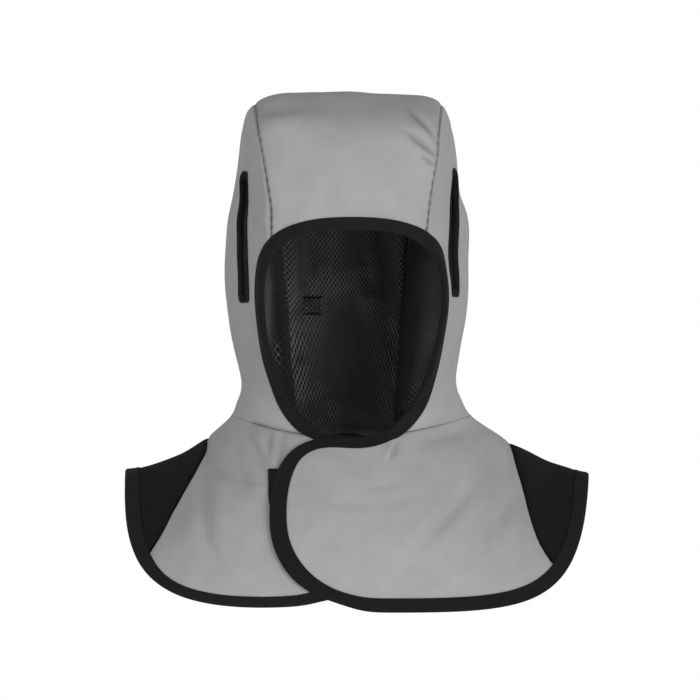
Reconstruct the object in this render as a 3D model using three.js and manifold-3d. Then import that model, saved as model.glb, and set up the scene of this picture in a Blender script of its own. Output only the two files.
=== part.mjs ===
// A welder's hood with a shoulder cape, in the form it has when worn. Millimetres.
// +Z is up, the face looks along -Y, and +X is on the right of somebody looking at the face.
// The origin is the point of the lining that the top of the head bears on.
import * as THREE from "three";
import { mergeVertices } from "three/addons/utils/BufferGeometryUtils.js";
import Module from "manifold-3d";

const wasm = await Module();
wasm.setup();
const { lerp, smoothstep, clamp, degToRad, radToDeg } = THREE.MathUtils;

// Cloth, lining and tape thicknesses, and the clearance between neighbouring pieces
const CLOTH = 1.2;
const LINING = 1.0;
const GAP = 0.3;
const HOOD_WALL = CLOTH + GAP + LINING;
const TAPE = 0.8;
const TAPE_WIDTH = 12;
const TAPE_GAP = 0.55; // clearance between a tape and the cloth that it is folded over
const TRIM_GAP = 0.15; // least clearance, where a facet of the cloth comes nearer
const SLIT_TAPE_WIDTH = 7;

// Middle line of the centre panel seen from the side, from under the brow to the nape
const MIDDLE_LINE = [
  { place: "under the brow", y: -107, z: -170 },
  { place: "brow", y: -113, z: -122 },
  { place: "forehead", y: -115, z: -74 },
  { place: "hairline", y: -99, z: -28 },
  { place: "crown front", y: -55, z: -2 },
  { place: "crown", y: 0, z: 2.5 },
  { place: "crown back", y: 58, z: -11 },
  { place: "top of the back", y: 103, z: -52 },
  { place: "back", y: 122, z: -115 },
  { place: "below the bump", y: 118, z: -175 },
  { place: "nape", y: 103, z: -230 },
  { place: "neck seam", y: 90, z: -294 },
];
const BOW = 17; // how far the panel's seams lie behind its middle line
const CROWN_BOW = 12; // the same at the crown, where the panel is flat with rounded shoulders
const CROWN_POWER = 6;
const CROWN_SHARES = { from: 0.14, full: 0.28, fade: 0.48, to: 0.66 };
const NAPE_START = 0.85; // share of the middle line from which the panel is drawn on to the neck seam
const SEAM = { x: 81.5, z: -14, slope: 0.098 }; // the seam's distance from the middle plane by height
const HAIRLINE = 0.24; // share of the middle line where the side panel's front turns into its top
const CORNER = 0.6; // the same where its top turns into its back

// Face opening at the fold of its tape, seen from the front
const OPENING = { x: 4, z: -178, half_width: 82, up: 56, down: 135, round_up: 2.65, round_down: 2.05 };
const CHEEK_Y = -72; // pulls the opening's edge back at the cheeks

// Side panels: how far each stands out from a plain patch between its four edges, by height, and
// how much of that lies behind the ear instead of in front of it
const STAND_OUT = [
  { height: 0, left: 0, right: 0, lean: 0 },
  { height: 0.08, left: -7.7, right: -11, lean: 0 },
  { height: 0.16, left: -14.5, right: -19, lean: 2 },
  { height: 0.3, left: -6.5, right: -12.7, lean: 6 },
  { height: 0.45, left: 1.2, right: -3.4, lean: 7 },
  { height: 0.6, left: 9, right: 6, lean: 5 },
  { height: 0.71, left: 9.5, right: 7, lean: 4 },
  { height: 0.82, left: 9.5, right: 8, lean: 3 },
  { height: 0.9, left: 10, right: 8.6, lean: 2 },
  { height: 0.96, left: 7.5, right: 5.8, lean: 1 },
  { height: 1, left: 0, right: 0, lean: 0 },
];
const SIDE_ROWS = [0, 0.08, 0.16, 0.25, 0.34, 0.43, 0.52, 0.6, 0.7, 0.8, 0.9, 0.96, 1]; // heights of its grid
const BROW_HEIGHT = 0.6; // height at which the face opening meets the crown seam

// Ear slit in the side panel, seen from the side
const SLIT = {
  top: { y: -25, z: -69 }, bottom: { y: -55, z: -186 },
  half_gap: 3.6, fullness: 0.7, bluntness: 0.4,
};

// Neck seam and hem of the cape. Pairs are for the left and the right, heights at the shoulder, the
// front and the back. square makes a ring fuller than an ellipse, dip lowers its front to each side
const NECK = {
  half: [104.5, 111], front: 92, back: 90, square: [0, 0],
  shoulder_z: [-289, -289], front_z: [-307, -307], dip: [0, 0], back_z: -294,
};
const HEM = {
  half: [198.8, 215.5], front: 150, back: 160, square: [0.5, 0.3],
  shoulder_z: [-340, -341.4], front_z: [-453.2, -461.3], dip: [37.5, 1.2], back_z: -432,
};
const HEM_DROP = { power: [1.075, 1.9], soft: [0.4, 0.41] }; // how soon the hem falls from the shoulder
const MIDDLE_BLEND = 0.1; // how far from the middle the left passes into the right
// Sag of the cloth from the neck to the shoulder's edge
const SHOULDER = { out: 1.08, sag: [1.74, 1.32] };
const CHEST = 2; // fullness of the cloth over the chest
const FOLD_START = 0.3; // share of the way down from the neck at which a fold has its full height

// Front flaps: the rounded free ends
const OVER_END = { x: 8, reach: -75, round_up: 2.8, round_down: 2.0 };
const UNDER_END = { x: -8, reach: 72, round_up: 2.8, round_down: 2.0 };
const CROSSING = { from: -28, to: 36, lift: 5.4 }; // where one flap passes over the other

// Seams from the flaps to the black shoulder yoke: degrees in front of the shoulder, by the share
// of the way down from the neck to the hem
const YOKE_SEAM_RIGHT = [
  { down: 0, forward: -14 },
  { down: 0.2, forward: -10 },
  { down: 0.32, forward: -2 },
  { down: 0.387, forward: 7.4 },
  { down: 0.44, forward: 14.8 },
  { down: 0.496, forward: 20.2 },
  { down: 0.549, forward: 25.3 },
  { down: 0.609, forward: 29.8 },
  { down: 0.682, forward: 33.3 },
  { down: 0.775, forward: 35.5 },
  { down: 1, forward: 37 },
];
const YOKE_SEAM_LEFT = [
  { down: 0, forward: -13 },
  { down: 0.12, forward: -8 },
  { down: 0.2, forward: 1 },
  { down: 0.27, forward: 12.8 },
  { down: 0.362, forward: 18.5 },
  { down: 0.441, forward: 23.4 },
  { down: 0.528, forward: 27.3 },
  { down: 0.618, forward: 30.9 },
  { down: 0.71, forward: 34.5 },
  { down: 0.824, forward: 37.2 },
  { down: 1, forward: 39.5 },
];
const SEAM_ANGLE = 0.22; // half of the gap at a yoke seam, in degrees
const NECK_SHARE = 0.001; // half of the gap at the neck seam, as a share of each panel
const CLOSURE = { left: -70, right: -22, top: 0.2, bottom: 0.72, clearance: 0.55, thickness: 1.5 };
const LINING_PATCH = { x: -33, z: -190, width: 15, height: 20, reach: 1.8 };

// Broad folds seen from the front: a ridge or, with a minus, a dent
const FOLDS = [
  { on: "centre", x: -58, z: -20, turn: 20, length: 26, width: 15, height: -4 },
  { on: "centre", x: 20, z: -92, turn: 80, length: 30, width: 16, height: -2 },
  { on: "left", x: -81, z: -112, turn: 82, length: 34, width: 12, height: -3 },
  { on: "under", x: -126, z: -395, turn: 80, length: 26, width: 13, height: -4 },
  { on: "under", x: -108, z: -385, turn: 80, length: 30, width: 14, height: 3 },
  { on: "under", x: -92, z: -365, turn: 85, length: 30, width: 13, height: -3 },
  { on: "over", x: 89, z: -375, turn: 47, length: 36, width: 15, height: -4 },
  { on: "over", x: 62, z: -385, turn: 47, length: 36, width: 16, height: 3 },
  { on: "over", x: 143, z: -369, turn: 85, length: 30, width: 13, height: -3 },
  { on: "over", x: 57, z: -430, turn: 60, length: 24, width: 14, height: -3 },
];

// Small helpers
const UP = new THREE.Vector3(0, 0, 1);
const signOf = (value) => (value < 0 ? -1 : 1);

function solve(error, low, high) {
  const rising = error(high) > error(low);
  for (let i = 0; i < 40; i += 1) {
    const middle = (low + high) / 2;
    if (error(middle) > 0 === rising) high = middle;
    else low = middle;
  }
  return (low + high) / 2;
}

// A smooth curve through the rows of a table, read at a place in one of its columns
function readTable(rows, place, value) {
  const curve = new THREE.SplineCurve(rows.map((row) => new THREE.Vector2(row[place], row[value])));
  return (at) => curve.getPoint(solve((k) => curve.getPoint(k).x - at, 0, 1)).y;
}

function foldHeight(piece, point) {
  let height = 0;
  for (const fold of FOLDS) {
    if (fold.on !== piece) continue;
    const turn = degToRad(fold.turn);
    const dx = point.x - fold.x;
    const dz = point.z - fold.z;
    const along = (dx * Math.cos(turn) + dz * Math.sin(turn)) / fold.length;
    const across = (dz * Math.cos(turn) - dx * Math.sin(turn)) / fold.width;
    height += fold.height * Math.exp(-along * along - across * across);
  }
  return height;
}

// A skin is an outer face as a function of two numbers. Its core is a point that lies behind all of it,
// moved down to the height of the part of the face that is looked at
const ANY = [-Infinity, Infinity];
const SHARE = [0, 1];

function makeSkin(point, core, rangeA, rangeB) {
  const slopes = (a, b) => {
    const step = 1e-3;
    const [a0, a1] = [Math.max(a - step, rangeA[0]), Math.min(a + step, rangeA[1])];
    const [b0, b1] = [Math.max(b - step, rangeB[0]), Math.min(b + step, rangeB[1])];
    const da = point(a1, b).sub(point(a0, b)).divideScalar(a1 - a0);
    const db = point(a, b1).sub(point(a, b0)).divideScalar(b1 - b0);
    return { da, db };
  };
  const normal = (a, b) => {
    const { da, db } = slopes(a, b);
    const n = da.cross(db).normalize();
    const out = point(a, b).sub(core);
    out.z = Math.max(out.z, 0);
    return n.dot(out) < 0 ? n.negate() : n;
  };
  return { point, normal };
}

function folded(skin, piece, core, rangeA, rangeB) {
  const point = (a, b) => {
    const base = skin.point(a, b);
    const height = base.y < 0 ? foldHeight(piece, base) : 0;
    return height === 0 ? base : base.addScaledVector(skin.normal(a, b), height);
  };
  return makeSkin(point, core, rangeA, rangeB);
}

// Hood: the centre panel
const HOOD_CORE = new THREE.Vector3(0, 0, -130);
const middleLine = new THREE.SplineCurve(MIDDLE_LINE.map((row) => new THREE.Vector2(row.y, row.z)));
const seamX = (z) => SEAM.x + SEAM.slope * (z - SEAM.z);
const FOREHEAD = 0.2;

function centrePoint(u, v) {
  const middle = middleLine.getPointAt(v);
  const along = middleLine.getTangentAt(v);
  const { from, full, fade, to } = CROWN_SHARES;
  const crown = smoothstep(v, from, full) * (1 - smoothstep(v, fade, to));
  const back = lerp(BOW * u * u, CROWN_BOW * Math.abs(u) ** CROWN_POWER, crown);
  const z = middle.y - along.x * back;
  const point = new THREE.Vector3(u * seamX(z), middle.x + along.y * back, z);
  const drawn = smoothstep(v, NAPE_START, 1);
  if (drawn === 0) return point;
  point.lerp(napePoint(u), drawn);
  return point.setX(u * seamX(point.z));
}

function napePoint(u) {
  const error = (angle) => neckPoint(angle).x - u * seamX(neckPoint(angle).z);
  return neckPoint(solve(error, 0, 180));
}

function openingPoint(angle) {
  const c = Math.cos(angle);
  const s = Math.sin(angle);
  const power = 2 / (s > 0 ? OPENING.round_up : OPENING.round_down);
  const tall = s > 0 ? OPENING.up : OPENING.down;
  const x = OPENING.x + OPENING.half_width * signOf(c) * Math.abs(c) ** power;
  return { x, z: OPENING.z + tall * signOf(s) * Math.abs(s) ** power };
}

function openingTop(x) {
  const share = Math.min(1, Math.abs((x - OPENING.x) / OPENING.half_width));
  return OPENING.z + OPENING.up * (1 - share ** OPENING.round_up) ** (1 / OPENING.round_up);
}

function browShare(u) {
  const error = (v) => {
    const point = centrePoint(u, v);
    return point.z - openingTop(point.x);
  };
  return solve(error, 0, FOREHEAD);
}

const plainCentre = makeSkin(centrePoint, HOOD_CORE, ANY, SHARE);
const centrePanel = folded(plainCentre, "centre", HOOD_CORE, ANY, SHARE);

// Cape: rings from the neck seam to the hem. The angle is in degrees: 0 on the right, 90 at the back
const sided = ([left, right], c) => lerp(left, right, smoothstep(c, -MIDDLE_BLEND, MIDDLE_BLEND));

function ringPoint(ring, angle, drop) {
  const c = Math.cos(degToRad(angle));
  const s = Math.sin(degToRad(angle));
  const x = c * (1 + sided(ring.square, c) * s * s) * sided(ring.half, c);
  const y = s * (s > 0 ? ring.back : ring.front);
  const end = s > 0 ? ring.back_z : sided(ring.front_z, c) - sided(ring.dip, c) * Math.abs(c);
  return new THREE.Vector3(x, y, lerp(sided(ring.shoulder_z, c), end, drop(Math.abs(s), c)));
}

const neckPoint = (angle) => ringPoint(NECK, angle, (s) => s * s);

function hemDrop(s, c) {
  const soft = sided(HEM_DROP.soft, c);
  return 1 - Math.max(0, 1 - (s * s * (1 + soft)) / (s + soft)) ** sided(HEM_DROP.power, c);
}

const hemPoint = (angle) => ringPoint(HEM, angle, hemDrop);

function capePoint(angle, t) {
  const neck = neckPoint(angle);
  const hem = hemPoint(angle);
  const full = Math.sin(degToRad(angle)) ** 2;
  const out = lerp(t ** SHOULDER.out, 1 - (1 - t) ** CHEST, full);
  const sag = sided(SHOULDER.sag, Math.cos(degToRad(angle)));
  const down = lerp(1 - (1 - t) ** sag, t, full);
  const flat = neck.clone().lerp(hem, out);
  return new THREE.Vector3(flat.x, flat.y, lerp(neck.z, hem.z, down));
}

const CAPE_CORE = new THREE.Vector3(0, 0, -520);
const cape = makeSkin(capePoint, CAPE_CORE, ANY, SHARE);
const underShare = (x) => smoothstep(x, CROSSING.from, CROSSING.to);

function layer(piece, share) {
  const point = (angle, t) => {
    const base = cape.point(angle, t);
    const height = CROSSING.lift * share(base.x) + foldHeight(piece, base) * smoothstep(t, 0, FOLD_START);
    return base.addScaledVector(cape.normal(angle, t), height);
  };
  return makeSkin(point, CAPE_CORE, ANY, SHARE);
}

const overLayer = layer("over", (x) => 1 - underShare(x));
const underLayer = layer("under", (x) => -underShare(x));

function endAngle(end, t) {
  const round = t < 0.5 ? end.round_up : end.round_down;
  const share = Math.min(1, Math.abs(2 * t - 1));
  const x = end.x + end.reach * (1 - share ** round) ** (1 / round);
  return solve((angle) => capePoint(angle, t).x - x, -179, -1);
}

// Hood: the side panels, patched between the opening, the crown seam, the back seam and the neck
const standOut = {
  left: readTable(STAND_OUT, "height", "left"),
  right: readTable(STAND_OUT, "height", "right"),
};
const lean = readTable(STAND_OUT, "height", "lean");

function makeSide(side) {
  const name = side < 0 ? "left" : "right";
  const mirrored = (angle) => (side > 0 ? angle : Math.PI - angle);
  const browV = browShare(side);
  const brow = centrePoint(side, browV);
  const browAngle = solve((angle) => openingPoint(mirrored(angle)).z - brow.z, 0, Math.PI / 2);
  const neckHalf = NECK.half[side > 0 ? 1 : 0];
  const neckAngleAt = (x) => -Math.PI + Math.acos(clamp(-x / neckHalf, -1, 1));
  const chinError = (angle) => {
    const point = openingPoint(mirrored(angle));
    return point.z - neckPoint(radToDeg(neckAngleAt(point.x))).z;
  };
  const chinAngle = solve(chinError, -Math.PI / 2 + 0.05, -0.2);
  const chinX = openingPoint(mirrored(chinAngle)).x;
  const neckStart = radToDeg(neckAngleAt(chinX));
  const nape = centrePoint(side, 1);
  const napeTurn = radToDeg(Math.acos(Math.abs(nape.x) / neckHalf));
  const neckEnd = side > 0 ? napeTurn : -180 - napeTurn;
  const chin = neckPoint(neckStart);

  const front = (q) => {
    const k = q / BROW_HEIGHT;
    if (k > 1) return centrePoint(side, lerp(browV, HAIRLINE, (q - BROW_HEIGHT) / (1 - BROW_HEIGHT)));
    const { x, z } = openingPoint(mirrored(lerp(chinAngle, browAngle, k)));
    const y = chin.y * (1 - k) ** 2 + 2 * CHEEK_Y * k * (1 - k) + brow.y * k * k;
    return new THREE.Vector3(x, y, z);
  };
  const top = (p) => centrePoint(side, lerp(HAIRLINE, CORNER, p));
  const back = (q) => centrePoint(side, lerp(1, CORNER, q));
  const bottom = (p) => neckPoint(lerp(neckStart, neckEnd, p));
  const corners = [front(0), front(1), back(0), back(1)];
  const point = (p, q) => {
    const across = front(q).multiplyScalar(1 - p).addScaledVector(back(q), p);
    const upwards = bottom(p).multiplyScalar(1 - q).addScaledVector(top(p), q);
    const flat = corners[0].clone().multiplyScalar((1 - p) * (1 - q));
    flat.addScaledVector(corners[1], (1 - p) * q);
    flat.addScaledVector(corners[2], p * (1 - q));
    flat.addScaledVector(corners[3], p * q);
    const patch = across.add(upwards).sub(flat);
    const out = standOut[name](q) * Math.sin(Math.PI * p) - lean(q) * Math.sin(2 * Math.PI * p);
    patch.x += side * out;
    return patch;
  };
  const plain = makeSkin(point, HOOD_CORE, SHARE, SHARE);
  const skin = folded(plain, name, HOOD_CORE, SHARE, SHARE);
  return { skin, neckStart };
}

const left = makeSide(-1);
const right = makeSide(1);

// A grid is a skin sampled in columns and rows, with the normal at each of its points
function sample(skin, place, columns, rows) {
  const grid = { columns, rows, points: [], normals: [] };
  const inner = (share) => clamp(share, 0.01, 0.99);
  for (let r = 0; r <= rows; r += 1) {
    for (let c = 0; c <= columns; c += 1) {
      grid.points.push(skin.point(...place(c / columns, r / rows)));
      grid.normals.push(skin.normal(...place(inner(c / columns), inner(r / rows))));
    }
  }
  return grid;
}

const indexAt = (grid, c, r) => r * (grid.columns + 1) + c;

function gridPoint(grid, a, b) {
  const c = Math.min(Math.floor(a * grid.columns), grid.columns - 1);
  const r = Math.min(Math.floor(b * grid.rows), grid.rows - 1);
  const [x, y] = [a * grid.columns - c, b * grid.rows - r];
  const side = x > y ? indexAt(grid, c + 1, r) : indexAt(grid, c, r + 1);
  const [near, far] = [indexAt(grid, c, r), indexAt(grid, c + 1, r + 1)];
  const mix = (list) => {
    const sum = list[near].clone().multiplyScalar(1 - Math.max(x, y));
    sum.addScaledVector(list[far], Math.min(x, y));
    return sum.addScaledVector(list[side], Math.abs(x - y));
  };
  return { point: mix(grid.points), normal: mix(grid.normals).normalize() };
}

// The same grid with its outermost points drawn in a little along their rows and columns
function drawnIn(grid, distance) {
  const { columns, rows } = grid;
  const points = grid.points.map((point) => point.clone());
  const draw = (c, r, innerC, innerR) => {
    const point = points[indexAt(grid, c, r)];
    const line = points[indexAt(grid, innerC, innerR)].clone().sub(point);
    point.addScaledVector(line, distance / line.length());
  };
  for (let r = 0; r <= rows; r += 1) {
    draw(0, r, 1, r);
    draw(columns, r, columns - 1, r);
  }
  for (let c = 0; c <= columns; c += 1) {
    draw(c, 0, c, 1);
    draw(c, rows, c, rows - 1);
  }
  return { ...grid, points };
}

// A closed wall: the grid's points at one depth, the same points deeper, and the rim between
function wall(grid, outer, inner) {
  const { columns, rows, points, normals } = grid;
  const vertices = [outer, inner].flatMap(
    (depth) => points.map((point, i) => point.clone().addScaledVector(normals[i], -depth)));
  const faces = [];
  const wide = columns + 1;
  const deep = points.length;
  const quad = (a, b, c, d) => faces.push([a, b, c], [a, c, d]);
  for (let r = 0; r < rows; r += 1) {
    for (let c = 0; c < columns; c += 1) {
      const k = indexAt(grid, c, r);
      quad(k, k + 1, k + wide + 1, k + wide);
      quad(deep + k, deep + k + wide, deep + k + wide + 1, deep + k + 1);
    }
  }
  for (let c = 0; c < columns; c += 1) {
    const last = rows * wide + c;
    quad(c + 1, c, deep + c, deep + c + 1);
    quad(last, last + 1, deep + last + 1, deep + last);
  }
  for (let r = 0; r < rows; r += 1) {
    const first = r * wide;
    const last = first + columns;
    quad(first, first + wide, deep + first + wide, deep + first);
    quad(last + wide, last, deep + last, deep + last + wide);
  }
  return toSolid(vertices, faces);
}

function toSolid(vertices, faces) {
  const geometry = new THREE.BufferGeometry().setFromPoints(vertices);
  let volume = 0;
  for (const [a, b, c] of faces) volume += vertices[a].dot(vertices[b].clone().cross(vertices[c]));
  geometry.setIndex(faces.flatMap(([a, b, c]) => (volume > 0 ? [a, b, c] : [a, c, b])));
  return asManifold(geometry);
}

function asManifold(geometry) {
  geometry.deleteAttribute("normal");
  geometry.deleteAttribute("uv");
  const merged = mergeVertices(geometry, 1e-4);
  const vertProperties = Float32Array.from(merged.attributes.position.array);
  const triVerts = Uint32Array.from(merged.index.array);
  return new wasm.Manifold(new wasm.Mesh({ numProp: 3, vertProperties, triVerts }));
}

function largest(manifold) {
  return manifold.decompose().reduce((best, body) => (body.volume() > best.volume() ? body : best));
}

function prism(outline, first, second, depth) {
  const geometry = new THREE.ExtrudeGeometry(new THREE.Shape(outline), { depth, bevelEnabled: false });
  const third = first.clone().cross(second);
  geometry.applyMatrix4(new THREE.Matrix4().makeBasis(first, second, third));
  const start = third.multiplyScalar(-depth / 2);
  geometry.translate(start.x, start.y, start.z);
  return asManifold(geometry);
}

const X_AXIS = new THREE.Vector3(1, 0, 0);
const Y_AXIS = new THREE.Vector3(0, 1, 0);
const FAR = 400;

function besideSeam(side) {
  const near = (z) => new THREE.Vector2(side * (seamX(z) + GAP / 2), z);
  const far = (z) => new THREE.Vector2(side * FAR, z);
  return prism([near(-FAR), far(-FAR), far(FAR), near(FAR)], X_AXIS, UP, 2 * FAR);
}

// Ear slit: a long oval from its top to its bottom, and the tape that binds its edge
const SLIT_STEPS = 12;

const slitTurn = (i) => (i / SLIT_STEPS) * 2 * Math.PI;

function slitPoint(turn, grow) {
  const top = new THREE.Vector2(SLIT.top.y, SLIT.top.z);
  const bottom = new THREE.Vector2(SLIT.bottom.y, SLIT.bottom.z);
  const middle = top.clone().lerp(bottom, 0.5);
  const along = top.sub(bottom);
  const half = along.length() / 2;
  along.normalize();
  const across = new THREE.Vector2(along.y, -along.x);
  const c = Math.cos(turn);
  const reach = (half + grow) * signOf(c) * Math.abs(c) ** SLIT.fullness;
  const s = Math.sin(turn);
  const width = (SLIT.half_gap + grow) * signOf(s) * Math.abs(s) ** SLIT.bluntness;
  return middle.addScaledVector(along, reach).addScaledVector(across, width);
}

function slitCut(grow) {
  const outline = [];
  for (let i = 0; i < SLIT_STEPS; i += 1) outline.push(slitPoint(slitTurn(i), grow));
  return prism(outline, Y_AXIS, UP, 2 * FAR);
}

// Tape: a strip folded over an edge, given step by step by the edge and a line a tape's width in from it
function foldedTape(steps, gap) {
  const sections = steps.map(({ edge, normal, inward, deep, deepNormal, wallDepth }) => {
    const deepAt = (depth) => deep.clone().addScaledVector(deepNormal, -depth);
    const edgeAt = (depth, past) => {
      const point = edge.clone().addScaledVector(normal, -depth);
      return point.addScaledVector(inward, -past);
    };
    const low = wallDepth + gap;
    return [
      deepAt(-gap - TAPE),
      edgeAt(-gap - TAPE, 0),
      edgeAt(wallDepth / 2, gap + TAPE),
      edgeAt(low + TAPE, 0),
      deepAt(low + TAPE),
      deepAt(low),
      edgeAt(low, gap),
      edgeAt(-gap, gap),
      deepAt(-gap),
    ];
  });
  const sides = sections[0].length;
  const isDeep = (j) => j === 0 || j === 4 || j === 5 || j === 8;
  const faces = [];
  for (let i = 0; i < sections.length; i += 1) {
    const next = (i + 1) % sections.length;
    for (let j = 0; j < sides; j += 1) {
      const k = (j + 1) % sides;
      const [a, b, c, d] = [i * sides + j, i * sides + k, next * sides + k, next * sides + j];
      if (isDeep(j) === steps[i].deepLeads) faces.push([a, b, c], [a, c, d]);
      else faces.push([a, b, d], [b, c, d]);
    }
  }
  return toSolid(sections.flat(), faces);
}

const LEAST_SLANT = 0.6;

// deepLeads says which way the wall's own facets are split along this edge
function edgeSteps(grid, pairs, wallDepth) {
  const [first, second] = pairs;
  const rising = second[0][0] + second[0][1] > first[0][0] + first[0][1];
  const fromFarSide = first[1][1] < first[0][1];
  const deepLeads = rising === fromFarSide;
  return pairs.map(([outerPlace, innerPlace], i) => {
    const at = ([c, r]) => indexAt(grid, c, r);
    const before = grid.points[at(pairs[Math.max(i - 1, 0)][0])];
    const after = grid.points[at(pairs[Math.min(i + 1, pairs.length - 1)][0])];
    const [outer, inner] = [at(outerPlace), at(innerPlace)];
    const edge = grid.points[outer];
    const normal = grid.normals[outer];
    const along = after.clone().sub(before).normalize();
    const line = grid.points[inner].clone().sub(edge);
    const slant = Math.max(LEAST_SLANT, along.clone().cross(line).length() / line.length());
    const share = TAPE_WIDTH / slant / line.length();
    const deep = edge.clone().addScaledVector(line, share);
    const deepNormal = normal.clone().lerp(grid.normals[inner], share).normalize();
    const inward = line.addScaledVector(along, -line.dot(along)).normalize();
    return { edge, normal, inward, deep, deepNormal, wallDepth, deepLeads };
  });
}

// Where the tape turns from the cheek to a flap's top edge, it lies across the flap's corner
const CORNER_CELL = { column: 0.5, row: 0.4 };

function cornerStep(cheek, top, grid) {
  const edge = cheek.edge.clone().lerp(top.edge, 0.5);
  const normal = cheek.normal.clone().lerp(top.normal, 0.5).normalize();
  const a = (ROUND_COLUMNS + TOP_COLUMNS + CORNER_CELL.column) / grid.columns;
  const { point, normal: deepNormal } = gridPoint(grid, a, CORNER_CELL.row / grid.rows);
  const inward = point.clone().sub(edge).normalize();
  return { edge, normal, inward, deep: point, deepNormal, wallDepth: cheek.wallDepth, deepLeads: true };
}

// Slit tape: a ring of the wall made thicker on both sides, less the room for the wall itself
function slitBinding(grid) {
  const outside = GAP + TAPE;
  const thick = wall(grid, -outside, HOOD_WALL + outside).intersect(slitCut(SLIT_TAPE_WIDTH));
  const cloth = wall(grid, -GAP, HOOD_WALL + GAP).subtract(slitCut(-GAP));
  return largest(thick.subtract(slitCut(-outside)).subtract(cloth));
}

// Places on each skin that its grid runs over
const GRID = { centre: [8, 21], side: [9, SIDE_ROWS.length - 1], flap: [15, 8], yoke: [21, 8] };
const ROUND_COLUMNS = 3; // columns of a flap along the rounded part of its end
const ROUND_SHARE = 0.13; // share of the flap's height taken by each rounded part
const TOP_COLUMNS = 2; // columns from there to the neck seam
const SEAM_SHARE = 1 - GAP / 2 / SEAM.x;

const centrePlace = (a, b) => {
  const u = lerp(-SEAM_SHARE, SEAM_SHARE, a);
  return [u, lerp(browShare(u), 1 - NECK_SHARE, b)];
};
const sideGridPlace = (a, b) => {
  const rows = SIDE_ROWS.length - 1;
  const r = Math.min(Math.floor(b * rows), rows - 1);
  return [a, Math.max(NECK_SHARE, lerp(SIDE_ROWS[r], SIDE_ROWS[r + 1], b * rows - r))];
};
const capeShare = (b) => lerp(NECK_SHARE, 1, b);

function flapPlace(end, seamAt, neckStart) {
  const round = ROUND_COLUMNS / GRID.flap[0];
  const start = (ROUND_COLUMNS + TOP_COLUMNS) / GRID.flap[0];
  const onEnd = (t) => [endAngle(end, t), t];
  const free = (t) => (a) => {
    const from = endAngle(end, t);
    if (a < start) return [lerp(from, neckStart, (a - round) / (start - round)), t];
    return [lerp(neckStart, seamAt(t), (a - start) / (1 - start)), t];
  };
  const rounded = (a) => ROUND_SHARE * (1 - a / round) ** 2;
  const top = (a) => (a < round ? onEnd(Math.max(rounded(a), NECK_SHARE)) : free(NECK_SHARE)(a));
  const bottom = (a) => (a < round ? onEnd(1 - rounded(a)) : free(1)(a));
  const leftSide = (b) => onEnd(lerp(ROUND_SHARE, 1 - ROUND_SHARE, b));
  const rightSide = (b) => [seamAt(capeShare(b)), capeShare(b)];
  return (a, b) => [0, 1].map((k) => {
    const across = lerp(leftSide(b)[k], rightSide(b)[k], a);
    const upwards = lerp(top(a)[k], bottom(a)[k], b);
    const corners = lerp(lerp(top(0)[k], top(1)[k], a), lerp(bottom(0)[k], bottom(1)[k], a), b);
    return across + upwards - corners;
  });
}

const rightForward = readTable(YOKE_SEAM_RIGHT, "down", "forward");
const leftForward = readTable(YOKE_SEAM_LEFT, "down", "forward");
const rightSeam = (t) => -rightForward(t);
const leftSeam = (t) => 180 + leftForward(t);
const overPlace = flapPlace(OVER_END, (t) => rightSeam(t) - SEAM_ANGLE, right.neckStart);
const underPlace = flapPlace(UNDER_END, (t) => leftSeam(t) - 360 + SEAM_ANGLE, left.neckStart);
const yokePlace = (a, b) => {
  const t = capeShare(b);
  return [lerp(rightSeam(t) + SEAM_ANGLE, leftSeam(t) - SEAM_ANGLE, a), t];
};

// Cloth pieces
const grids = {
  centre: sample(centrePanel, centrePlace, ...GRID.centre),
  left: sample(left.skin, sideGridPlace, ...GRID.side),
  right: sample(right.skin, sideGridPlace, ...GRID.side),
  over: sample(overLayer, overPlace, ...GRID.flap),
  under: sample(underLayer, underPlace, ...GRID.flap),
  yoke: sample(cape, yokePlace, ...GRID.yoke),
};
const sideKeep = { left: besideSeam(-1), right: besideSeam(1) };
const slitHole = slitCut(0);
const panel = (name, outer, inner) => wall(drawnIn(grids[name], TRIM_GAP), outer, inner);
const sideWall = (side, outer, inner) => {
  const whole = panel(side, outer, inner);
  return whole.intersect(sideKeep[side]).subtract(slitHole);
};

const hoodCentre = panel("centre", 0, CLOTH);
const hoodLeft = sideWall("left", 0, CLOTH);
const hoodRight = sideWall("right", 0, CLOTH);
const liningCentre = panel("centre", CLOTH + GAP, HOOD_WALL);
const liningLeft = sideWall("left", CLOTH + GAP, HOOD_WALL);
const liningRight = sideWall("right", CLOTH + GAP, HOOD_WALL);
const overFlap = panel("over", 0, CLOTH);
const underFlap = panel("under", 0, CLOTH);
const yoke = panel("yoke", 0, CLOTH);

// One tape round the face opening, down one flap, along the hem and up the other flap
function range(from, to) {
  const step = Math.sign(to - from);
  return Array.from({ length: Math.abs(to - from) + 1 }, (_, i) => from + step * i);
}

const firstColumn = (r) => [[0, r], [1, r]];
const firstRow = (c) => [[c, 0], [c, 1]];
const columnEdge = (grid, from, to) => edgeSteps(grid, range(from, to).map(firstColumn), CLOTH);
const cheekEdge = (grid, from, to) => edgeSteps(grid, range(from, to).map(firstColumn), HOOD_WALL);
const topEdge = (grid, from, to, wallDepth) => edgeSteps(grid, range(from, to).map(firstRow), wallDepth);
const hemEdge = (grid, from, to) => {
  const lastRow = (c) => [[c, grid.rows], [c, grid.rows - 1]];
  return edgeSteps(grid, range(from, to).map(lastRow), CLOTH);
};

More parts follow.
